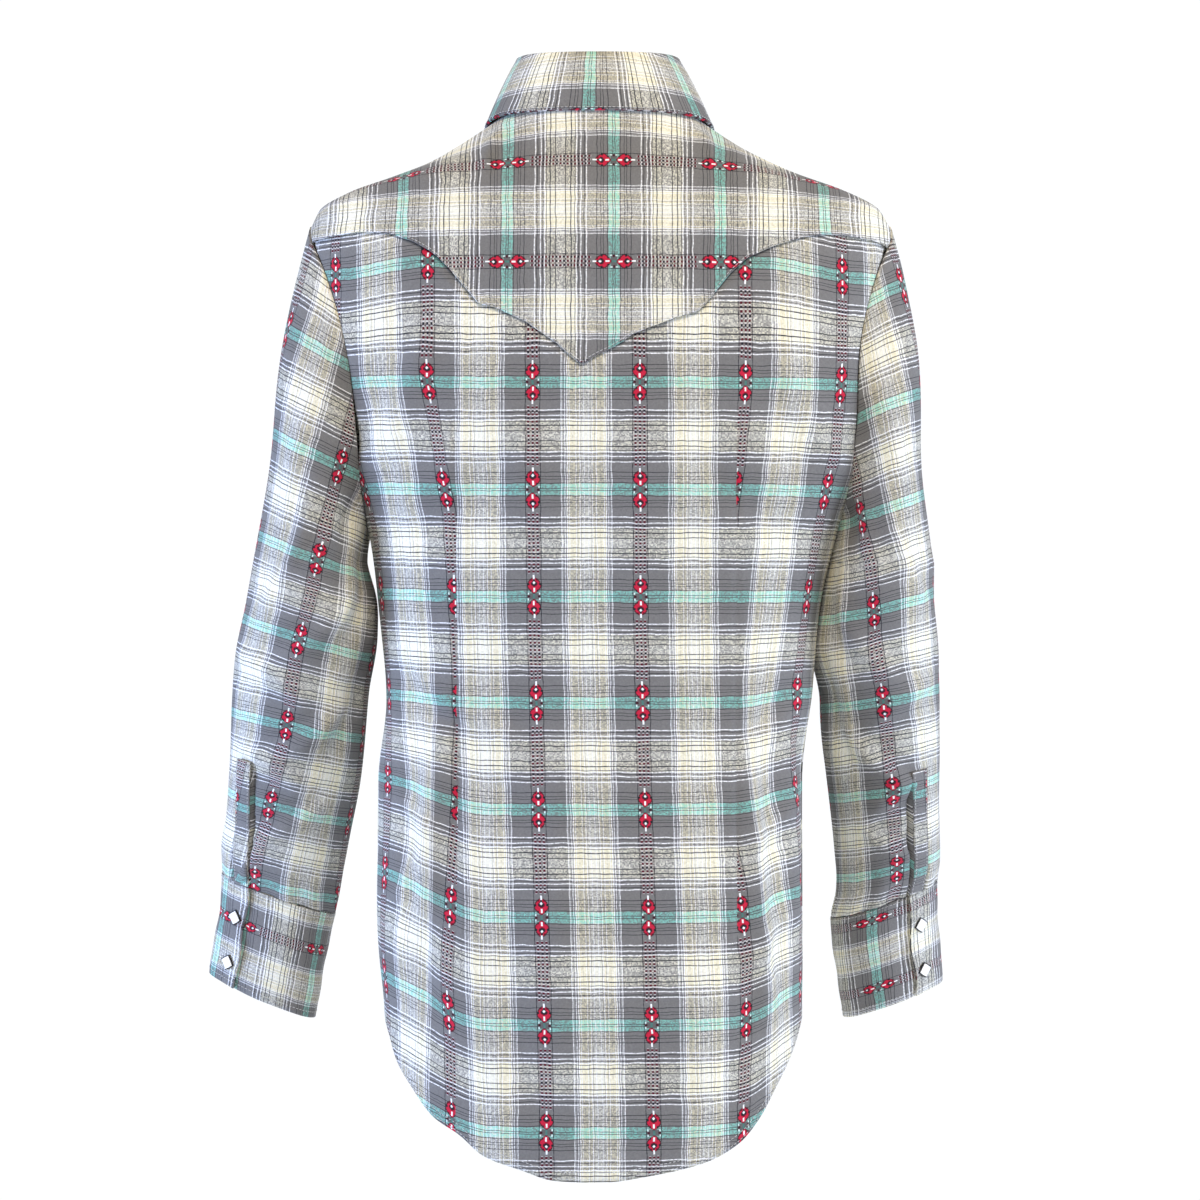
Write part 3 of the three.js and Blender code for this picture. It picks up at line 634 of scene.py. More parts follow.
    def dash(middle, wide, tall, off=0.0):
        a = n.maths("LESS_THAN", n.maths("ABSOLUTE", n.maths("SUBTRACT", smooth_x, off)), wide / 2)
        b = n.maths("LESS_THAN", n.maths("ABSOLUTE", n.maths("SUBTRACT", smooth_y, middle)), tall / 2)
        return n.maths("MULTIPLY", a, b)

    def every(position, step, part, phase=0.0):
        """1 on a dash round each whole step, part of a step long."""
        wave = n.maths("PINGPONG", n.maths("ADD", n.maths("DIVIDE", position, step), phase), 0.5)
        return n.maths("LESS_THAN", wave, part / 2)

    # Three dotted lines run up the column between the figures, maroon and ink by turns.
    column = n.maths("LESS_THAN", smooth_x, 5.0)
    column = n.maths("MULTIPLY", column, n.maths("GREATER_THAN", smooth_y, 16.9))
    row = n.maths("MULTIPLY", column, every(smooth_x, 3.1, 0.5))
    dots = n.maths("MULTIPLY", row, every(smooth_y, 2.6, 0.6))
    specks = n.maths("MULTIPLY", row, every(smooth_y, 2.6, 0.34, 0.5))
    by_turns = n.blend(every(smooth_y, 5.2, 0.5), (*yarn("maroon"), 1), (*ink, 1))
    cloth = n.blend(n.maths("MULTIPLY", column, 0.24), ground, (*yarn("maroon"), 1))
    cloth = n.blend(dots, cloth, by_turns)
    cloth = n.blend(n.maths("MULTIPLY", specks, 0.45), cloth, (*white, 1))
    inner_half = n.maths("LESS_THAN", smooth_y, 10.2)
    figure = [
        (dash(0.0, 9.2, 4.6), between(grey, ink, 0.4)),
        (lozenge(8.0, 5.3, 6.1, 1.6), between(yarn("maroon"), ink, 0.3)),
        (lozenge(8.0, 4.6, 5.3, 1.6), yarn("red")),
        (dash(9.0, 1.6, 1.6, 4.3), ink),
        (dash(12.3, 1.0, 1.6, 2.0), yarn("maroon")),
        (dash(4.4, 1.0, 1.3, 2.5), ink),
        (dash(0.0, 2.0, 1.6, 3.9), between(ink, yarn("maroon"), 0.5)),
        (n.maths("MULTIPLY", inner_half, lozenge(9.6, 2.5, 2.3, 2.0)), yarn("maroon")),
        (lozenge(9.8, 1.9, 2.0, 2.0), ink),
        (lozenge(10.0, 0.8, 1.2, 2.0), white),
        (dash(12.2, 1.4, 1.4), ink),
        (dash(4.8, 1.3, 3.0), white),
        (dash(14.3, 1.3, 3.0), white),
        (dash(2.0, 0.9, 1.5, 4.2), between(white, turquoise, 0.3)),
        (dash(0.6, 1.6, 2.2), between(turquoise, ink, 0.7)),
    ]
    for mask, shade in figure:
        cloth = n.blend(mask, cloth, (*shade, 1))

    fuzz = n.add("ShaderNodeTexNoise", {"Vector": place, "Scale": 0.52 / MM, "Detail": 3.0}).outputs[0]
    value = n.maths("MULTIPLY_ADD", fuzz, 0.34, 0.75)
    value = n.maths("MULTIPLY_ADD", chance, 0.14, value)
    cloth = n.add("ShaderNodeHueSaturation", {"Value": value, "Color": cloth}).outputs[0]
    height = n.maths("ADD", n.maths("MULTIPLY", chance, 0.5), slub)
    bump = n.add("ShaderNodeBump", {"Strength": 0.5, "Distance": 0.3 * MM, "Height": height})
    shader = n.add("ShaderNodeBsdfPrincipled", {
        "Base Color": cloth, "Roughness": 0.92, "Specular IOR Level": 0.2, "Sheen Weight": 0.12,
        "Sheen Roughness": 0.5, "Normal": bump.outputs[0]})
    n.add("ShaderNodeOutputMaterial", {0: shader.outputs[0]})
    return n.material


def clouded(name, noise, low, high, look):
    """A material whose colour drifts between two, as its noise does."""
    n = Nodes(name)
    place = n.add("ShaderNodeTexCoord").outputs["Object"]
    cloud = n.add("ShaderNodeTexNoise", {"Vector": place, **noise}).outputs[0]
    shader = n.add("ShaderNodeBsdfPrincipled", {
        "Base Color": n.blend(cloud, (*low, 1), (*high, 1)), **look})
    n.add("ShaderNodeOutputMaterial", {0: shader.outputs[0]})
    return n.material


# A noise's scale is its specks to a millimetre.
def thread_material():
    """Spun polyester sewing thread: a slightly silky off-white line of beads."""
    return clouded("spun_polyester_thread", {"Scale": 1.5 / MM}, linear("#b9b6ad"), yarn("white"),
                   {"Roughness": 0.6, "Sheen Weight": 0.2})


def pearl_material():
    """Cast polyester pearl: milky white with a soft cloudy lustre under a clear gloss."""
    pearl = yarn("pearl")
    # The emission is painted light: the caps glow faintly in their own colour so they stay bright where
    # little lamp light reaches.
    return clouded("cast_polyester_pearl", {"Scale": 0.26 / MM, "Detail": 2.0, "Distortion": 1.5},
                   linear("#eeeff0"), pearl,
                   {"Roughness": 0.22, "Coat Weight": 0.6, "Coat Roughness": 0.06,
                    "Emission Color": (*pearl, 1), "Emission Strength": 0.22})


def rim_material():
    """Plated brass, darkened: the thin metal edge that holds a pearl cap."""
    return clouded("gunmetal_plated_brass", {"Scale": 0.9 / MM}, linear("#161618"), linear("#4c4c50"),
                   {"Metallic": 1.0, "Roughness": 0.32})


def paper_material():
    """Seamless studio paper: flat, even white."""
    return clouded("seamless_paper", {"Scale": 0.06 / MM}, linear("#f3f3f1"), linear("#fafaf8"),
                   {"Roughness": 0.95})


MAKERS = {"plaid": plaid_material, "thread": thread_material, "pearl": pearl_material,
          "rim": rim_material, "paper": paper_material}
made = {}


def materials(name):
    if name not in made:
        made[name] = MAKERS[name]()
    return made[name]


# ---- body pieces ----
BODY_STRIPE = -214.5   # level of the middle of a turquoise stripe
BODY_COLUMN = 39.3     # a column of figures, to the left of the back's middle line
LAP = 1.6              # how far a piece that lies on another is moved out
BACK_KNOTS = (0.3, 0.7)   # where the two darts lie, as shares of the back's columns


def body_v(level, x):
    """The pattern's height on the body: level, lifted towards the side seams."""
    lift = np.where(
        x > 0, read(GRAIN, "z", "lift_left", level) * smooth((x - 80) / 88),
        read(GRAIN, "z", "lift_right", level) * smooth((-x - 100) / 55))
    blades = 10 * smooth((level + 205) / 60) * (1 - 0.8 * smooth((np.abs(x) - 120) / 70))
    return level - lift - blades - BODY_STRIPE


BACK_FOLDS = table(
    FOLD,
    (-112, -490, -128, -700, 3, 8, 4.4), (-138, -460, -146, -640, -3, 7, 2.6),
    (116, -440, 146, -650, -6, 11, 3.6), (142, -490, 120, -700, 5, 10, -3.0),
    (128, -560, 150, -600, 3, 6, 2.2), (150, -515, 118, -545, 3, 6, 1.8),
    (92, -600, 62, -780, 6, 14, 2.6), (-84, -630, -70, -780, -3, 13, 2.4),
    (152, -420, 92, -475, 5, 8, -2.0), (-150, -425, -98, -478, -5, 8, -2.0),
    (-146, -520, -104, -560, -4, 7, 1.8), (-140, -600, -96, -650, -4, 8, 1.8),
    (150, -330, 56, -258, 10, 14, -2.2), (-160, -330, -66, -250, -10, 14, -2.2),
    (178, -285, 122, -172, 8, 12, 2.8), (-188, -285, -132, -172, -8, 12, 2.8),
    (24, -470, 30, -730, 5, 18, 2.0), (-40, -450, -34, -700, -5, 20, -1.8),
    (72, -190, 34, -340, 7, 20, 1.6), (-54, -195, -28, -350, -6, 22, 1.6),
    (88, -450, 58, -480, 3, 8, 1.1), (-90, -442, -56, -470, -3, 8, 1.1),
    (86, -505, 50, -520, 3, 9, -1.0), (-92, -500, -48, -512, -3, 9, -1.0),
    (60, -752, 10, -766, 5, 14, 1.6), (-30, -770, -92, -742, -4, 12, 1.4))


def body_heights(points, folds, seed):
    x, z = points[..., 0], points[..., 2]
    return 1.35 * fold_heights(folds, x, z) + ripple(x, z, 120, 0.6, seed)


def column_levels(hem, top, below, above):
    """Heights of a panel's rows: hem to underarm, then crowded just over the underarm."""
    low = np.linspace(0, 1, below + 1)[:, None]
    high = (np.linspace(0, 1, above + 1)[1:, None]) ** 1.5
    return np.concatenate([mix(hem, UNDERARM, low), mix(UNDERARM, top, high)])


def back_turn(s, level):
    left, right = armhole_turn(level, 1, 1), 180 - armhole_turn(level, -1, 1)
    first, second = turn_at(DART["left"], level), turn_at(DART["right"], level)
    a, b = BACK_KNOTS
    turn = np.where(s < a, mix(left, first, s / a),
                    np.where(s < b, mix(first, second, (s - a) / (b - a)),
                             mix(second, right, (s - b) / (1 - b))))
    return turn, (turn - left) / (right - left)


def build_back():
    columns, below, above = 140, 112, 58
    s = np.linspace(0, 1, columns + 1)
    hem, top = np.full(s.shape, -760.0), np.full(s.shape, -120.0)
    for _ in range(8):
        hem = read(TAIL, "across", "z", back_turn(s, hem)[1])
        top = straight(YOKE_SEAM, "across", "z", back_turn(s, top)[1]) + 3
    levels = column_levels(hem, top, below, above)
    turns = back_turn(s[None, :], levels)[0]
    points = form_point(turns, levels)
    x, z = points[..., 0], points[..., 2]
    heights = body_heights(points, BACK_FOLDS, 3)
    for side in SIDE:
        stitched = smooth((-225 - z) / 40) * smooth((z + 640) / 40)
        heights = heights - 1.7 * bell(x, DART[side], 1.5) * stitched
        heights = heights + 1.3 * bell(x, DART[side], 12) * stitched
    under_yoke = smooth((levels - (top - 3) + 5) / 4)
    heights = heights - 1.5 * under_yoke
    u = -length_round(turns, levels) - BODY_COLUMN - read(GRAIN, "z", "middle", levels)
    uv = np.stack([u, body_v(levels, x)], -1)
    row_level = levels[:, [int(columns * k) for k in BACK_KNOTS]]
    left = read(DART_INTAKE, "z", "left", row_level[:, 0])
    right = read(DART_INTAKE, "z", "right", row_level[:, 1])
    uv[..., 0] += left[:, None]
    uv[..., 0] += read(TUCKED, "z", "left", levels) * smooth((x - 112) / 16)
    uv[..., 0] -= read(TUCKED, "z", "right", levels) * smooth((-x - 108) / 16)
    piece = cloth_wall("back", points, uv, heights=heights,
                       jumps=[(int(columns * BACK_KNOTS[0]), -left),
                              (int(columns * BACK_KNOTS[1]), -right)])
    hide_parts("back")


def shoulder_levels(low, rows):
    t = np.linspace(0, 1, rows + 1)[:, None]
    return mix(low, NECK_LEVEL, smooth(t) * 0.4 + t * 0.6)


FRONT_FOLDS = table(
    FOLD,
    (110, -480, 124, -700, 3, 11, 2.6), (142, -450, 146, -640, -3, 9, -1.8),
    (168, -300, 90, -220, 10, 15, -1.8), (150, -420, 60, -350, 8, 14, 1.4),
    (60, -500, 54, -720, 4, 18, 1.4), (90, -180, 60, -330, 8, 20, 1.6),
    (30, -130, 26, -260, 3, 14, -0.9), (150, -250, 70, -180, 8, 16, 1.5))


def front_levels(across, side, rows_low=100, rows_mid=34, rows_high=30):
    shelf = float(armhole_level(YOKE_FRONT_TURN, side))
    hem = mix(TAIL["z"][0], read(TAIL, "across", "z", across / 2), FRONT_TAIL_RISE)
    low = column_levels(hem, np.full(across.shape, shelf), rows_low, rows_mid)
    high = shoulder_levels(np.full(across.shape, shelf), rows_high)[1:]
    return np.concatenate([low, high]), shelf


def front_turn(across, level, side, shelf):
    seam = np.where(level < UNDERARM, 0, armhole_turn(level, side, -1))
    outer = np.where(level >= shelf, YOKE_FRONT_TURN, seam)
    return mirrored(mix(outer, -90 + 0.15, across), side)


def front_v(points, levels, x):
    """The pattern's height on the front, between a point's own height and its level."""
    return body_v(points[..., 2] * 0.35 + levels * 0.65, x)


def front_uv(turns, levels, points):
    """The pattern meets itself at the centre front, a column of figures on each side."""
    centre = np.where(turns < 90, length_round(np.full_like(turns, -90), levels),
                      length_round(np.full_like(turns, 270), levels))
    u = length_round(turns, levels) - centre
    return np.stack([u + REPEAT / 2, front_v(points, levels, points[..., 0])], -1)


def build_front(word):
    side = SIDE[word]
    across = np.linspace(0, 1, 66)
    levels, shelf = front_levels(across, side)
    turns = front_turn(across[None, :], levels, side, shelf)
    points = form_point(turns, levels)
    x, z = points[..., 0], points[..., 2]
    calm = smooth((np.abs(x) - 12) / 20)
    folded = fold_heights(FRONT_FOLDS, np.abs(x), z - 4 * side)
    heights = (folded + ripple(x, z, 110, 0.5, 11 + side)) * calm
    piece = cloth_wall(f"front_{word}", points, front_uv(turns, levels, points), heights=heights)
    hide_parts(f"front_{word}")


def band_point(x, level, height):
    cosine = np.minimum(1, np.abs(x) / half_width(x, level)) ** (form("square", level) / 2)
    turn = -np.degrees(np.arccos(cosine))
    turn = np.where(x >= 0, turn, 180 - turn)
    return lifted(turn, level, np.broadcast_to(height, turn.shape))


def build_band():
    half = 16
    x = np.linspace(-half, half, 13)[None, :]
    levels, _ = front_levels(np.array([1.0]), 1)
    levels[-1] -= 2
    edge = 0.5 * bell(np.abs(x), half, 1.5)
    points = band_point(x, levels, LAP + 0.3 - edge * 0.4)
    v = front_v(points, levels, points[..., 0] * 0)
    uv = np.stack([np.broadcast_to(x + REPEAT / 2, v.shape), v], -1)
    piece = cloth_wall("front_band", points, uv, wall=1.3, outward=np.array([0, -1, 0]))
    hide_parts("front_band")


# ---- yoke ----
YOKE_ROW = -126      # height of a row of figures at the back
YOKE_STRIPE = -11.7  # a turquoise stripe, to the wearer's left


def yoke_rows(points, turns, levels):
    """Length of cloth up from the level of the lower row of figures, in planes across the
    shoulder: up the back, over the shoulder and down the front."""
    across, up = 4.0, 2.0
    xs = np.arange(-228, 229, across)
    zs = np.arange(-210, NECK_LEVEL + 0.1, up)
    square = form("square", zs)
    room = np.clip(1 - (np.abs(xs[:, None]) / half_width(xs[:, None], zs)) ** square, 0, 1)

    def run(depth, lift):
        """Each plane's heights on one half of the form, and the cloth's length up to them."""
        y = depth * room ** (1 / square)
        z = zs + lift * room
        steps = np.hypot(np.diff(y, axis=1), np.diff(z, axis=1))
        steps = np.where(room[:, 1:] + room[:, :-1] > 0, steps, 0)
        return z, np.concatenate([np.zeros((len(xs), 1)), np.cumsum(steps, axis=1)], axis=1)

    z_back, back = run(form("back", zs), form("rise", zs))
    _, front = run(form("front", zs), -form("drop", zs))
    zero = np.array([np.interp(YOKE_ROW, *plane) for plane in zip(z_back, back)])
    back = back - zero[:, None]
    front = back[:, -1:] + (front[:, -1:] - front)
    place = (points[..., 0] - xs[0]) / across, (levels - zs[0]) / up
    at_back = (turns >= 0) & (turns <= 180)
    return np.where(at_back, sample(back, *place), sample(front, *place))


YOKE_FOLDS = table(
    FOLD,
    (60, -30, 150, -75, 6, 9, 1.4), (-62, -30, -150, -78, -6, 9, 1.4),
    (66, -14, 84, -60, 4, 5, 1.6), (-66, -16, -88, -58, -4, 5, 1.6),
    (120, -70, 205, -90, 5, 11, -1.3), (-120, -70, -205, -92, -5, 11, -1.3),
    (0, -60, 30, -150, 6, 20, 0.8), (-60, -60, -50, -140, 4, 18, -0.8))


def build_yoke():
    def shoulder(side):
        seam = straight(YOKE_SEAM, "across", "z", 0 if side > 0 else 1)
        end = float(armhole_turn(np.array(seam), side, 1))
        inner = np.linspace(YOKE_FRONT_TURN, end, 31)[:-1]
        return mirrored(inner, side), armhole_level(inner, side)

    s = np.linspace(0, 1, 151)
    low = straight(YOKE_SEAM, "across", "z", s)
    left, right = armhole_turn(low, 1, 1), 180 - armhole_turn(low, -1, 1)
    turn_back = mix(left, right, s)
    (turn_left, low_left), (turn_right, low_right) = shoulder(1), shoulder(-1)
    turns = np.concatenate([turn_left, turn_back, turn_right[::-1]])
    lows = np.concatenate([low_left, low, low_right[::-1]])
    levels = shoulder_levels(lows, 84)
    turns = np.broadcast_to(turns[None, :], levels.shape)
    points = form_point(turns, levels)
    x, z = points[..., 0], points[..., 2]
    heights = fold_heights(YOKE_FOLDS, x, z) + ripple(x, z, 90, 0.35, 5)
    on_back = smooth((turns - 12) / 8) * smooth((168 - turns) / 8)
    heights = heights + on_back * (0.35 * smooth((lows + 9 - levels) / 9)
                                   + 0.5 * smooth((lows + 2 - levels) / 2))
    beside = bell(np.minimum(np.abs(turns), np.abs(180 - turns)), 0, 25)
    heights = heights - 5 * beside * bell(levels, -12, 12)
    uv = np.stack([yoke_rows(points, turns, levels), x - YOKE_STRIPE], -1)
    piece = cloth_wall("yoke", points, uv, heights=heights, outward=np.array([0, 0.3, 1]))
    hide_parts("yoke")


# ---- collar ----
STAND = {"height": 33, "lean": 5, "out": -1.3, "lap_turn": -98, "overlap": 8, "settle": 8,
         "foot": 1}
LEAF = {"top_end": -80, "tip_turn": -64}


def neck_point(turn, out, up):
    seam = form_point(turn, np.full(np.shape(turn), float(NECK_LEVEL)))
    flat = unit(seam * np.array([1, 1, 0]))
    c, s = cos_sin(turn)
    up = up + 7.5 * c * c * smooth((s + 0.6) / 0.6) * up / STAND["height"]
    lean = STAND["lean"] * up / STAND["height"]
    return seam + flat * (out - lean)[..., None] + np.array([0, 0, 1]) * np.asarray(up)[..., None]


def stand_point(travelled, up):
    lift = LAP * (1 - smooth((travelled - STAND["overlap"]) / STAND["settle"]))
    return neck_point(STAND["lap_turn"] + travelled, STAND["out"] + lift, up)


def build_collar():
    travelled = np.linspace(0, 360 + STAND["overlap"], 181)[None, :]
    up = np.linspace(STAND["foot"], STAND["height"] - 1, 14)[:, None]
    travelled, up = np.broadcast_arrays(travelled, up)
    points = stand_point(travelled, up)
    uv = np.stack([up + 20, (travelled - 188) * 1.18 - 6], -1)
    stand = cloth_wall("collar_stand", points, uv, wall=1.1)
    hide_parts("collar_stand")

    t = np.linspace(0, 1, 201)[None, :]
    down = np.concatenate([np.linspace(0, 0.1, 7)[:-1], np.linspace(0.1, 1, 26)])[:, None]
    part = 1 - np.abs(2 * t - 1)
    top, edge = mix(LEAF["top_end"], 90, part), mix(LEAF["tip_turn"], 90, part)
    mirror = np.where(t <= 0.5, 1, -1)
    top = np.where(mirror > 0, top, 180 - top)
    top, down_all = np.broadcast_arrays(top, down)
    out = STAND["out"] + LAP + 0.5 + 3 * np.sqrt(down_all) + 0.5 * np.sin(np.pi * down_all)
    roll = 1.0 * (1 - smooth(down_all / 0.05)) - 0.8 * (1 - smooth(down_all / 0.02))
    fold = neck_point(top, out, STAND["height"] + roll)
    to_front = smooth(-edge / -LEAF["tip_turn"])
    stands_off = 2.6 - 4.6 * bell(edge[0], 0, 25)
    droop = 2.2 * bell(edge[0], 90, 45)
    droop = droop + np.where(mirror[0] < 0, 2.0, 0) * bell(edge[0], 20, 34)
    rest = lifted(edge[0], mix(-14, -50, to_front)[0] - droop, stands_off)
    rest = rest * np.stack([mirror[0], np.ones(201), np.ones(201)], -1)
    wave = 0.9 * np.sin(t * 2 * np.pi * 3.2 + 1) * smooth((down - 0.5) / 0.5)
    points = mix(fold, rest[None], down_all[..., None])
    length = np.linalg.norm(fold[0] - rest, axis=-1)
    steps = np.linalg.norm(np.diff(mix(fold[0], rest, 0.5), axis=0), axis=-1)
    ring = np.concatenate([[0], np.cumsum(steps)])
    ring = ring - ring[100]
    uv = np.stack([(down_all - 1) * length[None, :] - 3.6,
                   np.broadcast_to(-ring[None, :] - 6, down_all.shape)], -1)
    leaf = cloth_wall("collar_leaf", points, uv, wall=1.9, heights=wave)
    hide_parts("collar_leaf")


# ---- sleeves ----
# Where turquoise stripes cross a sleeve, at its outer and inner edge, one repeat apart.
SLEEVE_STRIPES = {
    "left": table("count outer inner",
                  (-1, -82, -128), (0, -166, -214), (1, -245, -286), (2, -324, -356),
                  (3, -386, -417), (4, -458, -479), (5, -520, -545), (6, -581, -606), (7, -645, -670)),
    "right": table("count outer inner",
                   (-1, -58, -98), (0, -134, -174), (1, -216, -249), (2, -292, -318),
                   (3, -367, -390), (4, -440, -456), (5, -509, -526), (6, -570, -590), (7, -635, -652))}
# The turn of the column of figures nearest the back of the arm.
SLEEVE_COLUMN = {
    "left": table("z turn", (-150, 136), (-268, 116), (-340, 104), (-408, 90), (-477, 84),
                  (-535, 75), (-600, 69)),
    "right": table("z turn", (-150, 134), (-310, 121), (-387, 103), (-455, 92), (-520, 88),
                   (-585, 86), (-620, 84))}
FIRST_RING = -345   # level at which the head of a sleeve meets its tube
CUFF_GAP = 0.9
LAP_EDGE = {"left": 65, "right": 68}   # turn of the cuff's edge
SLIT_LEAN = {"left": 9, "right": 0}    # how far the opening has turned at its top
SLIT_GAPE = {"left": (2.2, 7), "right": (4.4, 11)}   # degrees open and how deep it shows
OPENING_LENGTH = 100
# Where a sleeve leans on the body: how much further in, and between which levels.
HUGS_BODY = {"left": (4.0, -372, -420), "right": (6.5, -330, -425)}
SLEEVE_SEED = {"left": 17, "right": 23}

# Folds by turn round the arm and level. The hidden side's are the same on both arms.
HIDDEN_SLEEVE_FOLDS = (
    (200, -380, 260, -440, 6, 9, 2.2), (300, -330, 240, -420, 8, 10, 2.0),
    (230, -480, 300, -530, 6, 9, 2.0), (320, -250, 280, -340, 6, 12, 1.6),
    (340, -440, 280, -500, 6, 9, 1.8))
SLEEVE_FOLDS = {
    "left": table(
        FOLD,
        (158, -240, 118, -330, 6, 13, -4.2), (168, -320, 122, -415, 6, 12, -4.0),
        (140, -262, 96, -352, 6, 9, 2.6), (160, -400, 116, -500, 6, 11, -3.2),
        (95, -300, 40, -390, 8, 9, 2.2), (150, -350, 60, -430, 8, 9, 2.4),
        (20, -410, 100, -450, 5, 8, 2.4), (150, -440, 60, -500, 6, 8, 2.2),
        (30, -480, 110, -520, 4, 8, 2.0), (140, -520, 60, -560, 4, 7, 1.8),
        (75, -560, 40, -600, 3, 6, 1.6), (100, -150, 60, -300, 8, 14, 1.6),
        (140, -200, 110, -320, 6, 12, -1.6), *HIDDEN_SLEEVE_FOLDS),
    "right": table(
        FOLD,
        (160, -250, 122, -340, 6, 12, -2.8), (166, -330, 124, -425, 6, 11, -2.6),
        (142, -270, 100, -360, 6, 9, 2.4), (158, -410, 118, -510, 6, 11, -3.0),
        (90, -310, 40, -380, 8, 9, 2.0), (150, -360, 70, -440, 8, 9, 2.4),
        (30, -430, 110, -470, 5, 8, 2.2), (145, -460, 60, -520, 6, 8, 2.2),
        (40, -500, 120, -540, 4, 8, 2.0), (130, -540, 60, -575, 4, 7, 1.8),
        (100, -160, 70, -300, 8, 14, 1.6), *HIDDEN_SLEEVE_FOLDS)}


def ring_point(word, turn, level, height=0.0):
    rows, side = SLEEVES[word], SIDE[word]
    out, near = read(rows, "z", "out", level), read(rows, "z", "in", level)
    c, s = cos_sin(turn)
    across = ((out - near) / 2 + height) * c
    return np.stack([side * ((out + near) / 2 + across),
                     read(rows, "z", "y", level) + (read(rows, "z", "deep", level) + height) * s,
                     level + read(rows, "z", "cant", level) * across], -1)


def armhole_point(word, turn):
    side = SIDE[word]
    c, s = cos_sin(turn)
    level = ARMHOLE["z"] + ARMHOLE["half_height"] * c * 0.998
    edge = np.where(s >= 0, armhole_turn(level, side, 1), armhole_turn(level, side, -1))
    return lifted(mirrored(edge, side), level, np.full(level.shape, 0.8))


def sleeve_head(word, turn, t):
    """The head of the sleeve: from the armhole's edge over the shoulder to the first ring."""
    side = SIDE[word]
    start = armhole_point(word, turn)
    end = ring_point(word, turn, np.full(turn.shape, float(FIRST_RING)))
    c, s = cos_sin(turn)
    reach = np.linalg.norm(end - start, axis=-1, keepdims=True) * 0.42
    leave = unit(np.stack([side * (0.13 + 0.08 * c + 0.45 * s * s), 0.15 * s,
                           -0.9 + 0.25 * s * s], -1))
    arrive = unit(np.stack([side * 0.1 * (1 + c), 0 * c, -1 + 0 * c], -1))
    a, b = start + leave * reach, end - arrive * reach
    t = t[:, None, None]
    return (1 - t)**3 * start + 3 * (1 - t)**2 * t * a + 3 * (1 - t) * t**2 * b + t**3 * end


def sleeve_rows(word, z, place):
    """Which stripe, counted in repeats, each point is at. The stripes' table gives their levels
    at the outer and inner edge of the arm."""
    stripes = SLEEVE_STRIPES[word]
    to_outer = (1 + cos_sin(place)[0]) / 2
    count = np.zeros_like(z)
    for at in np.ndindex(z.shape):
        marks = mix(stripes["inner"], stripes["outer"], to_outer[at])
        above = max(0.0, z[at] - marks[0]) / REPEAT
        count[at] = np.interp(-z[at], -marks, stripes["count"]) - above
    return count


def sleeve_uv(word, turn, points):
    """Pattern on a sleeve: rows between the stripes' table, columns along the arm. Over the
    first ring the place round the arm is read from an axis that leans in to the shoulder."""
    column, rows, side = SLEEVE_COLUMN[word], SLEEVES[word], SIDE[word]
    z = points[..., 2]
    turn = np.broadcast_to(turn, z.shape)
    half = (rows["out"][0] - rows["in"][0]) / 2
    lean, lean_height = 28, 256
    centre = rows["in"][0] + half - np.clip((z - FIRST_RING) / lean_height, 0, 1) * lean
    seen = np.degrees(np.arctan2((points[..., 1] - rows["y"][0]) / rows["deep"][0],
                                 (points[..., 0] * side - centre) / half))
    place = np.where(z > FIRST_RING, turn + (seen - turn + 180) % 360 - 180, turn)
    step = 3.0
    fine = np.arange(150, 571, step)
    c, s = cos_sin(fine)
    u = np.zeros_like(z)
    for i, row in enumerate(z):
        level = min(row.mean(), FIRST_RING)
        half = (read(rows, "z", "out", level) - read(rows, "z", "in", level)) / 2
        length = np.cumsum(np.hypot(half * s, read(rows, "z", "deep", level) * c)) * math.radians(step)
        start = 360 + read(column, "z", "turn", row)
        u[i] = np.interp(place[i], fine, length) - np.interp(start, fine, length)
    return np.stack([u, -sleeve_rows(word, z, place) * REPEAT], -1)


def sleeve_drape(word, turns, z):
    """Folds of the sleeve. They fade where it leans on the body."""
    folded = 1.4 * fold_heights(SLEEVE_FOLDS[word], turns, z)
    inward = bell(turns, 180, 38) * smooth((z + 470) / 60)
    heights = (folded + ripple(turns, z, 95, 0.5, SLEEVE_SEED[word])) * (1 - 0.85 * inward)
    further, top, low = HUGS_BODY[word]
    hug = smooth((top + 30 - z) / 45) * smooth((z - low + 25) / 45)
    return heights, further * hug * bell(turns, 180, 50)


def sleeve_end(word, turns, z):
    """The gathers into the cuff, the lapped opening with its dark groove, and one pleat."""
    above = z - SLEEVES[word]["z"][-2]
    gathers = np.sin(np.radians(turns) * 11 + 1.0) * smooth((40 - above) / 40)
    lap = slit_turn(word, z)
    slit = smooth((OPENING_LENGTH + 6 - above) / 20)
    lapped = 1.7 * slit * smooth((lap - turns) / 1.2 + 0.5) * smooth((turns - lap + 60) / 50)
    climb = np.clip(above / OPENING_LENGTH, 0, 1)
    gape, deep = SLIT_GAPE[word]
    width = 0.8 + gape * np.sin(np.pi * climb ** 1.4)
    inside = smooth((turns - lap) / 0.7) * smooth((lap + width - turns) / 0.9 + 1)
    groove = -deep * inside * smooth((OPENING_LENGTH - above) / 16)
    pleat = -3.2 * smooth((38 - above) / 20) * bell(turns, lap - 21, 1.8)
    return gathers + lapped + groove + pleat


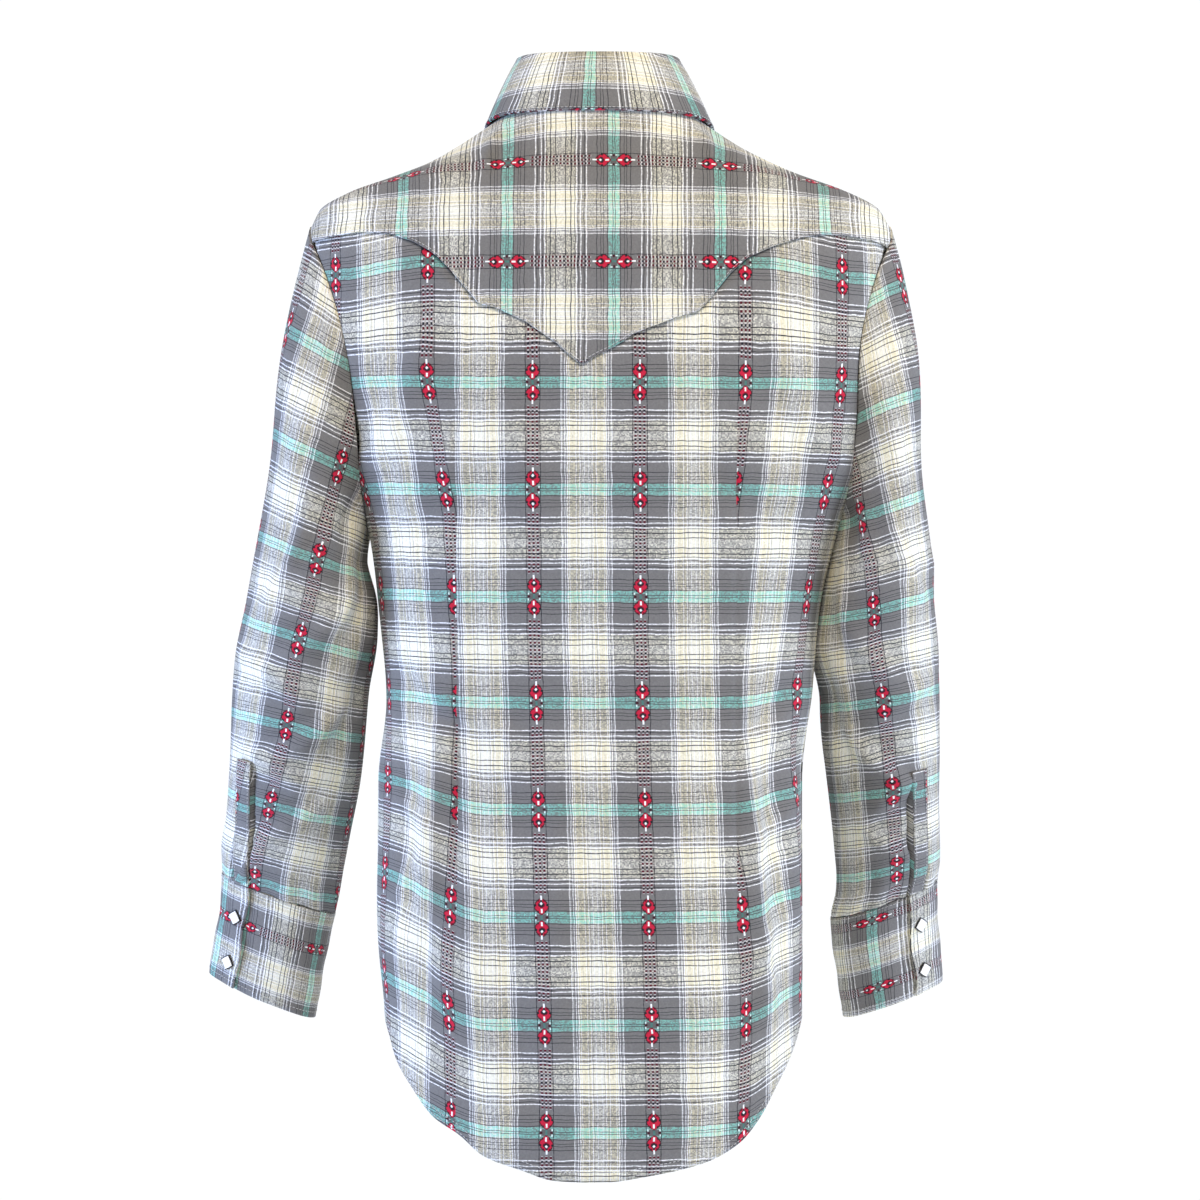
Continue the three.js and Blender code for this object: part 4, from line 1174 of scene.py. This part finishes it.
def build_sleeve(word):
    around, head_rows, tube_rows, settled_row = 124, 78, 92, 14
    near_slit = 360 + LAP_EDGE[word] + np.linspace(-26, 14, 37)
    turn = np.linspace(180, 540, around + 1)
    apart = (turn < near_slit[0] - 1) | (turn > near_slit[-1] + 1)
    turn = np.sort(np.concatenate([turn[apart], near_slit]))
    head = sleeve_head(word, turn, np.linspace(0, 1, head_rows + 1))
    tube_end = SLEEVES[word]["z"][-2] + CUFF_GAP
    level = np.linspace(FIRST_RING, tube_end, tube_rows + 1)[1:, None]
    points = np.concatenate([head, ring_point(word, turn[None, :], level)])
    uv = sleeve_uv(word, turn, points)
    turns = np.broadcast_to(np.where(turn > 360, turn - 360, turn)[None, :], points.shape[:2])
    z = points[..., 2]
    settle = smooth(np.arange(len(points)) / settled_row)[:, None]
    drape, hug = sleeve_drape(word, turns, z)
    heights = (drape + sleeve_end(word, turns, z)) * settle + hug
    middle = points[len(points) // 2, :-1]
    piece = cloth_wall(f"sleeve_{word}", points[:, :-1], uv, looped=True, heights=heights[:, :-1],
                       outward=middle[len(middle) // 3] - middle.mean(axis=0))
    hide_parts(f"sleeve_{word}")


CUFF = {"overlap": 34, "settle": 60, "rows": 27}
CUFF_WAVE = {"left": 0.6, "right": 2.2}   # phase of the edge's waviness
# A row of figures down the cuff, how many repeats fit in its depth, and where stripes cross it:
# degrees from the lap edge, and millimetres of cloth there.
CUFF_PATTERN = {"left": (0.36, 1.36, ((0, 26.6), (90, -38), (230, -113), (394, -261))),
                "right": (0.11, 1.5, ((0, -28.8), (90, -93.6), (230, -169.2), (394, -287.3)))}


def cuff_point(word, travelled, level, height=0.0):
    lift = LAP * (1 - smooth((travelled - CUFF["overlap"]) / CUFF["settle"]))
    return ring_point(word, LAP_EDGE[word] - travelled, level, lift + height)


def build_cuff(word):
    top, bottom = SLEEVES[word]["z"][-2:]
    lap = np.linspace(0, 16, 13)[:-1]
    travelled = np.concatenate([lap, np.linspace(16, 360 + CUFF["overlap"] - 4, 144)])[None, :]
    down = np.linspace(0, 1, CUFF["rows"])[:, None]
    travelled, down = np.broadcast_arrays(travelled, down)
    wave = (1 - smooth(travelled / 16)) * np.sin(down * 10.5 + CUFF_WAVE[word])
    flare = (1 - smooth(travelled / 8)) * (2.4 + 0.8 * np.sin(down * 9 + 2))
    points = cuff_point(word, travelled - 1.6 * wave, mix(top, bottom, down), flare)
    row, repeats, stripes = CUFF_PATTERN[word]
    uv = np.stack([(down - row) * repeats * REPEAT, np.interp(travelled, *zip(*stripes))], -1)
    turn = LAP_EDGE[word] - travelled
    soft = ripple(turn * 0.8, down * 90, 45, 0.63, 31) * smooth(travelled / 30)
    middle = points[CUFF["rows"] // 2]
    piece = cloth_wall(f"cuff_{word}", points, uv, wall=1.2, heights=soft,
                       outward=middle[50] - middle.mean(axis=0))
    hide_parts(f"cuff_{word}")


def slit_turn(word, level):
    climb = np.clip((level - SLEEVES[word]["z"][-2]) / OPENING_LENGTH, 0, 1)
    return LAP_EDGE[word] - SLIT_LEAN[word] * smooth(climb)


def build_opening_band(word):
    bottom = SLEEVES[word]["z"][-2] + CUFF_GAP
    level = np.linspace(bottom, bottom + OPENING_LENGTH, 50)[:, None]
    t = np.linspace(0, 1, 13)[None, :]
    level, t = np.broadcast_arrays(level, t)
    turn = slit_turn(word, level) - 17 * t
    height = 1.6 + 1.7 + 0.3 * np.sin(np.pi * t) + 0 * level
    points = ring_point(word, turn, level, height)
    uv = sleeve_uv(word, turn + 360, points) + np.array([31.0, 9.0])
    piece = cloth_wall(f"sleeve_band_{word}", points, uv, wall=0.9,
                       outward=points[25, 6] - np.array([SIDE[word] * 250, -80, points[25, 6, 2]]))
    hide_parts(f"sleeve_band_{word}")


# ---- snaps ----
SNAP_LIFT = 0.75   # a snap's underside over the middle of the cloth


def diamond_ring(half, height, per_side=6, soften=0.05):
    """Points round a diamond with softened corners."""
    points = []
    for k in range(4 * per_side):
        angle = 2 * math.pi * k / (4 * per_side)
        c, s = math.cos(angle), math.sin(angle)
        reach = half / (abs(c) + abs(s)) * (1 - soften * max(abs(c), abs(s)) ** 12)
        points.append((reach * c, reach * s, height))
    return np.array(points)


def lathe_diamond(profile):
    """Stacks diamond rings, half size and height, into one closed body."""
    rings = [diamond_ring(half, height) for half, height in profile]
    count = len(rings[0])
    vertices = np.concatenate(rings + [[[0, 0, profile[0][1]]], [[0, 0, profile[-1][1]]]])
    faces = []
    for r in range(len(rings) - 1):
        for k in range(count):
            a, b = r * count + k, r * count + (k + 1) % count
            faces.append((a, b, b + count, a + count))
    low, high, last = len(vertices) - 2, len(vertices) - 1, (len(rings) - 1) * count
    for k in range(0, count, 2):
        after, next_one = (k + 1) % count, (k + 2) % count
        faces.append((low, next_one, after, k))
        faces.append((high, last + k, last + after, last + next_one))
    return vertices, np.array(faces)


PEARL_PROFILE = [(6.0, 0.7), (6.1, 1.3), (5.9, 1.7), (5.4, 1.95), (3.2, 2.2), (0.9, 2.3)]
RIM_PROFILE = [(5.2, 0.0), (6.9, 0.1), (7.2, 0.6), (7.1, 1.1), (6.6, 1.4), (5.9, 1.2)]


def place_snap(name, at, inside):
    """A snap's cap and rim on the surface that at(around, along) gives."""
    centre = at(0.0, 0.0)
    along = at(0.0, 1.0) - at(0.0, -1.0)
    normal = unit(np.cross(along, at(1.0, 0.0) - at(-1.0, 0.0)))
    if np.dot(normal, centre - inside) < 0:
        normal = -normal
    side = unit(np.cross(along, normal))
    basis = np.stack([side, np.cross(normal, side), normal])
    base = centre + normal * SNAP_LIFT
    for part, profile, look in (("cap", PEARL_PROFILE, "pearl"), ("rim", RIM_PROFILE, "rim")):
        vertices, faces = lathe_diamond(profile)
        obj = new_object(f"{name}_{part}", vertices @ basis + base, faces, materials(look))
        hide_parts(name)


def build_snaps():
    def on_band(level):
        def at(across, along):
            return band_point(np.array(across), np.array(level + along), LAP + 0.3)
        return at

    def on_stand(around, along):
        return stand_point(np.array(STAND["overlap"] - 2 + around), np.array(STAND["height"] / 2 + along))

    place_snap("band_snap_1", on_stand, np.zeros(3))
    for i, level in enumerate(np.linspace(-42, -650, 7)):
        place_snap(f"band_snap_{i + 2}", on_band(float(level)), np.array([0, 0, level]))
    for word in SIDE:
        top, bottom = SLEEVES[word]["z"][-2:]
        for i, part in ((1, 0.33), (2, 0.78)):
            level = mix(top, bottom, part)

            def at(around, along, word=word, level=level):
                return cuff_point(word, np.array(14.0 + around), np.array(level + along))

            wrist = (ring_point(word, np.array(0.0), np.array(level))
                     + ring_point(word, np.array(180.0), np.array(level))) / 2
            place_snap(f"cuff_snap_{word}_{i}", at, wrist)


# ---- stitching ----
# Each seam's rows of stitches: piece, edge, distance in from it.
STITCHES = {
    "hem": [(name, "first", distance) for name in ("back", "front_left", "front_right")
            for distance in (2.0, 7.0)],
    "collar": [("collar_leaf", "last", 2), ("collar_leaf", "left", 2), ("collar_leaf", "right", 2)],
    "cuffs": [(f"cuff_{word}", edge, distance) for word in SIDE
              for edge, distance in (("first", 2), ("last", 5), ("left", 2), ("left", 6))],
    "band": [("front_band", edge, 5) for edge in SIDE],
    "openings": [(f"sleeve_band_{word}", edge, 1.8) for word in SIDE for edge in SIDE]}


def build_stitching():
    back_part = slice(30, -30)
    stitch_object("stitch_yoke", [[line[back_part] for line in inset("yoke", "first", 1.8)]])
    for name, rows in STITCHES.items():
        stitch_object(f"stitch_{name}", [inset(*row) for row in rows])


# ---- stage ----
def build_stage():
    scene = bpy.context.scene
    bpy.ops.mesh.primitive_circle_add(vertices=96, radius=1.5, fill_type="NGON", location=(0, 0, -1.35))
    floor = bpy.context.object
    floor.name = "studio_floor"
    floor.data.materials.append(materials("paper"))

    world = bpy.data.worlds.new("studio_white")
    scene.world = world
    world.use_nodes = True
    tree = world.node_tree
    background = tree.nodes["Background"]
    background.inputs["Color"].default_value = (0.97, 0.985, 1, 1)
    path = tree.nodes.new("ShaderNodeLightPath")
    strength = tree.nodes.new("ShaderNodeMapRange")
    strength.inputs["To Min"].default_value = 0.38
    strength.inputs["To Max"].default_value = 1.05
    tree.links.new(path.outputs["Is Camera Ray"], strength.inputs["Value"])
    tree.links.new(strength.outputs[0], background.inputs["Strength"])

    lights = (("key_softbox", (-0.1, 1.5, 1.5), 0.9, 30, "#fff0da"),
              ("left_softbox", (1.7, 0.55, -0.6), 0.8, 33, "#b6ceff"),
              ("right_softbox", (-1.7, 0.55, -0.5), 0.8, 26, "#d4e2ff"),
              ("low_softbox", (0.3, 0.9, -1.6), 0.8, 14, "#a4c0ff"),
              ("front_softbox", (0.3, -2.6, 0.6), 1.6, 26, "#ffffff"))
    for name, place, size, power, code in lights:
        light = bpy.data.lights.new(name, "AREA")
        light.size = size
        light.energy = power
        light.color = linear(code)
        lamp = bpy.data.objects.new(name, light)
        lamp.location = place
        aim = Vector((0, 0, -0.38)) - Vector(place)
        lamp.rotation_euler = aim.to_track_quat("-Z", "Y").to_euler()
        scene.collection.objects.link(lamp)

    camera = bpy.data.cameras.new("camera")
    camera.sensor_width = 36
    camera.lens = 94.7
    view = bpy.data.objects.new("camera", camera)
    view.location = (-0.0015, 2.4, -0.373)
    view.rotation_euler = (math.radians(90), 0, math.radians(180))
    scene.collection.objects.link(view)
    scene.camera = view
    scene.view_settings.view_transform = "Standard"


# ---- add-on ----
def piece_operator(word, label, text, *steps):
    """An operator class that runs the given builders."""
    def execute(self, context):
        for step in steps:
            step()
        return {"FINISHED"}
    return type(f"SHIRT_OT_{word}", (bpy.types.Operator,), {
        "bl_idname": f"shirt.{word}", "bl_label": label, "__doc__": text, "execute": execute})


def both(build):
    """Runs a builder for the wearer's left, then for the right."""
    def run():
        for word in SIDE:
            build(word)
    return run


OPERATORS = [
    piece_operator("back", "Back", "Cuts the back with its two darts", build_back),
    piece_operator("fronts", "Fronts", "Cuts both fronts and the snap band",
                   both(build_front), build_band),
    piece_operator("yoke", "Yoke", "Cuts the pointed yoke", build_yoke),
    piece_operator("collar", "Collar", "Makes the collar's stand and leaf", build_collar),
    piece_operator("sleeves", "Sleeves", "Makes both sleeves and their opening bands",
                   both(build_sleeve), both(build_opening_band)),
    piece_operator("cuffs", "Cuffs", "Makes both lapped cuffs", both(build_cuff)),
    piece_operator("snaps", "Snaps", "Sets the pearl snaps", build_snaps),
    piece_operator("stitching", "Stitching", "Sews the visible stitch rows", build_stitching),
    piece_operator("stage", "Stage", "Sets up floor, lights and camera", build_stage),
]


class SHIRT_PT_panel(bpy.types.Panel):
    """The shirt's pieces, in the 3D view's sidebar."""
    bl_idname = "SHIRT_PT_panel"
    bl_label = "Western Snap Shirt"
    bl_space_type = "VIEW_3D"
    bl_region_type = "UI"
    bl_category = "Shirt"

    def draw(self, context):
        for group in (context.scene.shirt_sizes, context.scene.shirt_colours):
            for name in group.__annotations__:
                self.layout.prop(group, name)
        for operator in OPERATORS:
            self.layout.operator(operator.bl_idname)


CLASSES = [ShirtSizes, ShirtColours, *OPERATORS, SHIRT_PT_panel]


def register():
    for cls in CLASSES:
        bpy.utils.register_class(cls)
    bpy.types.Scene.shirt_sizes = bpy.props.PointerProperty(type=ShirtSizes)
    bpy.types.Scene.shirt_colours = bpy.props.PointerProperty(type=ShirtColours)


def unregister():
    del bpy.types.Scene.shirt_sizes
    del bpy.types.Scene.shirt_colours
    for cls in reversed(CLASSES):
        bpy.utils.unregister_class(cls)


def main():
    register()
    for operator in OPERATORS:
        word = operator.bl_idname.split(".")[1]
        getattr(bpy.ops.shirt, word)()


if __name__ == "__main__":
    main()
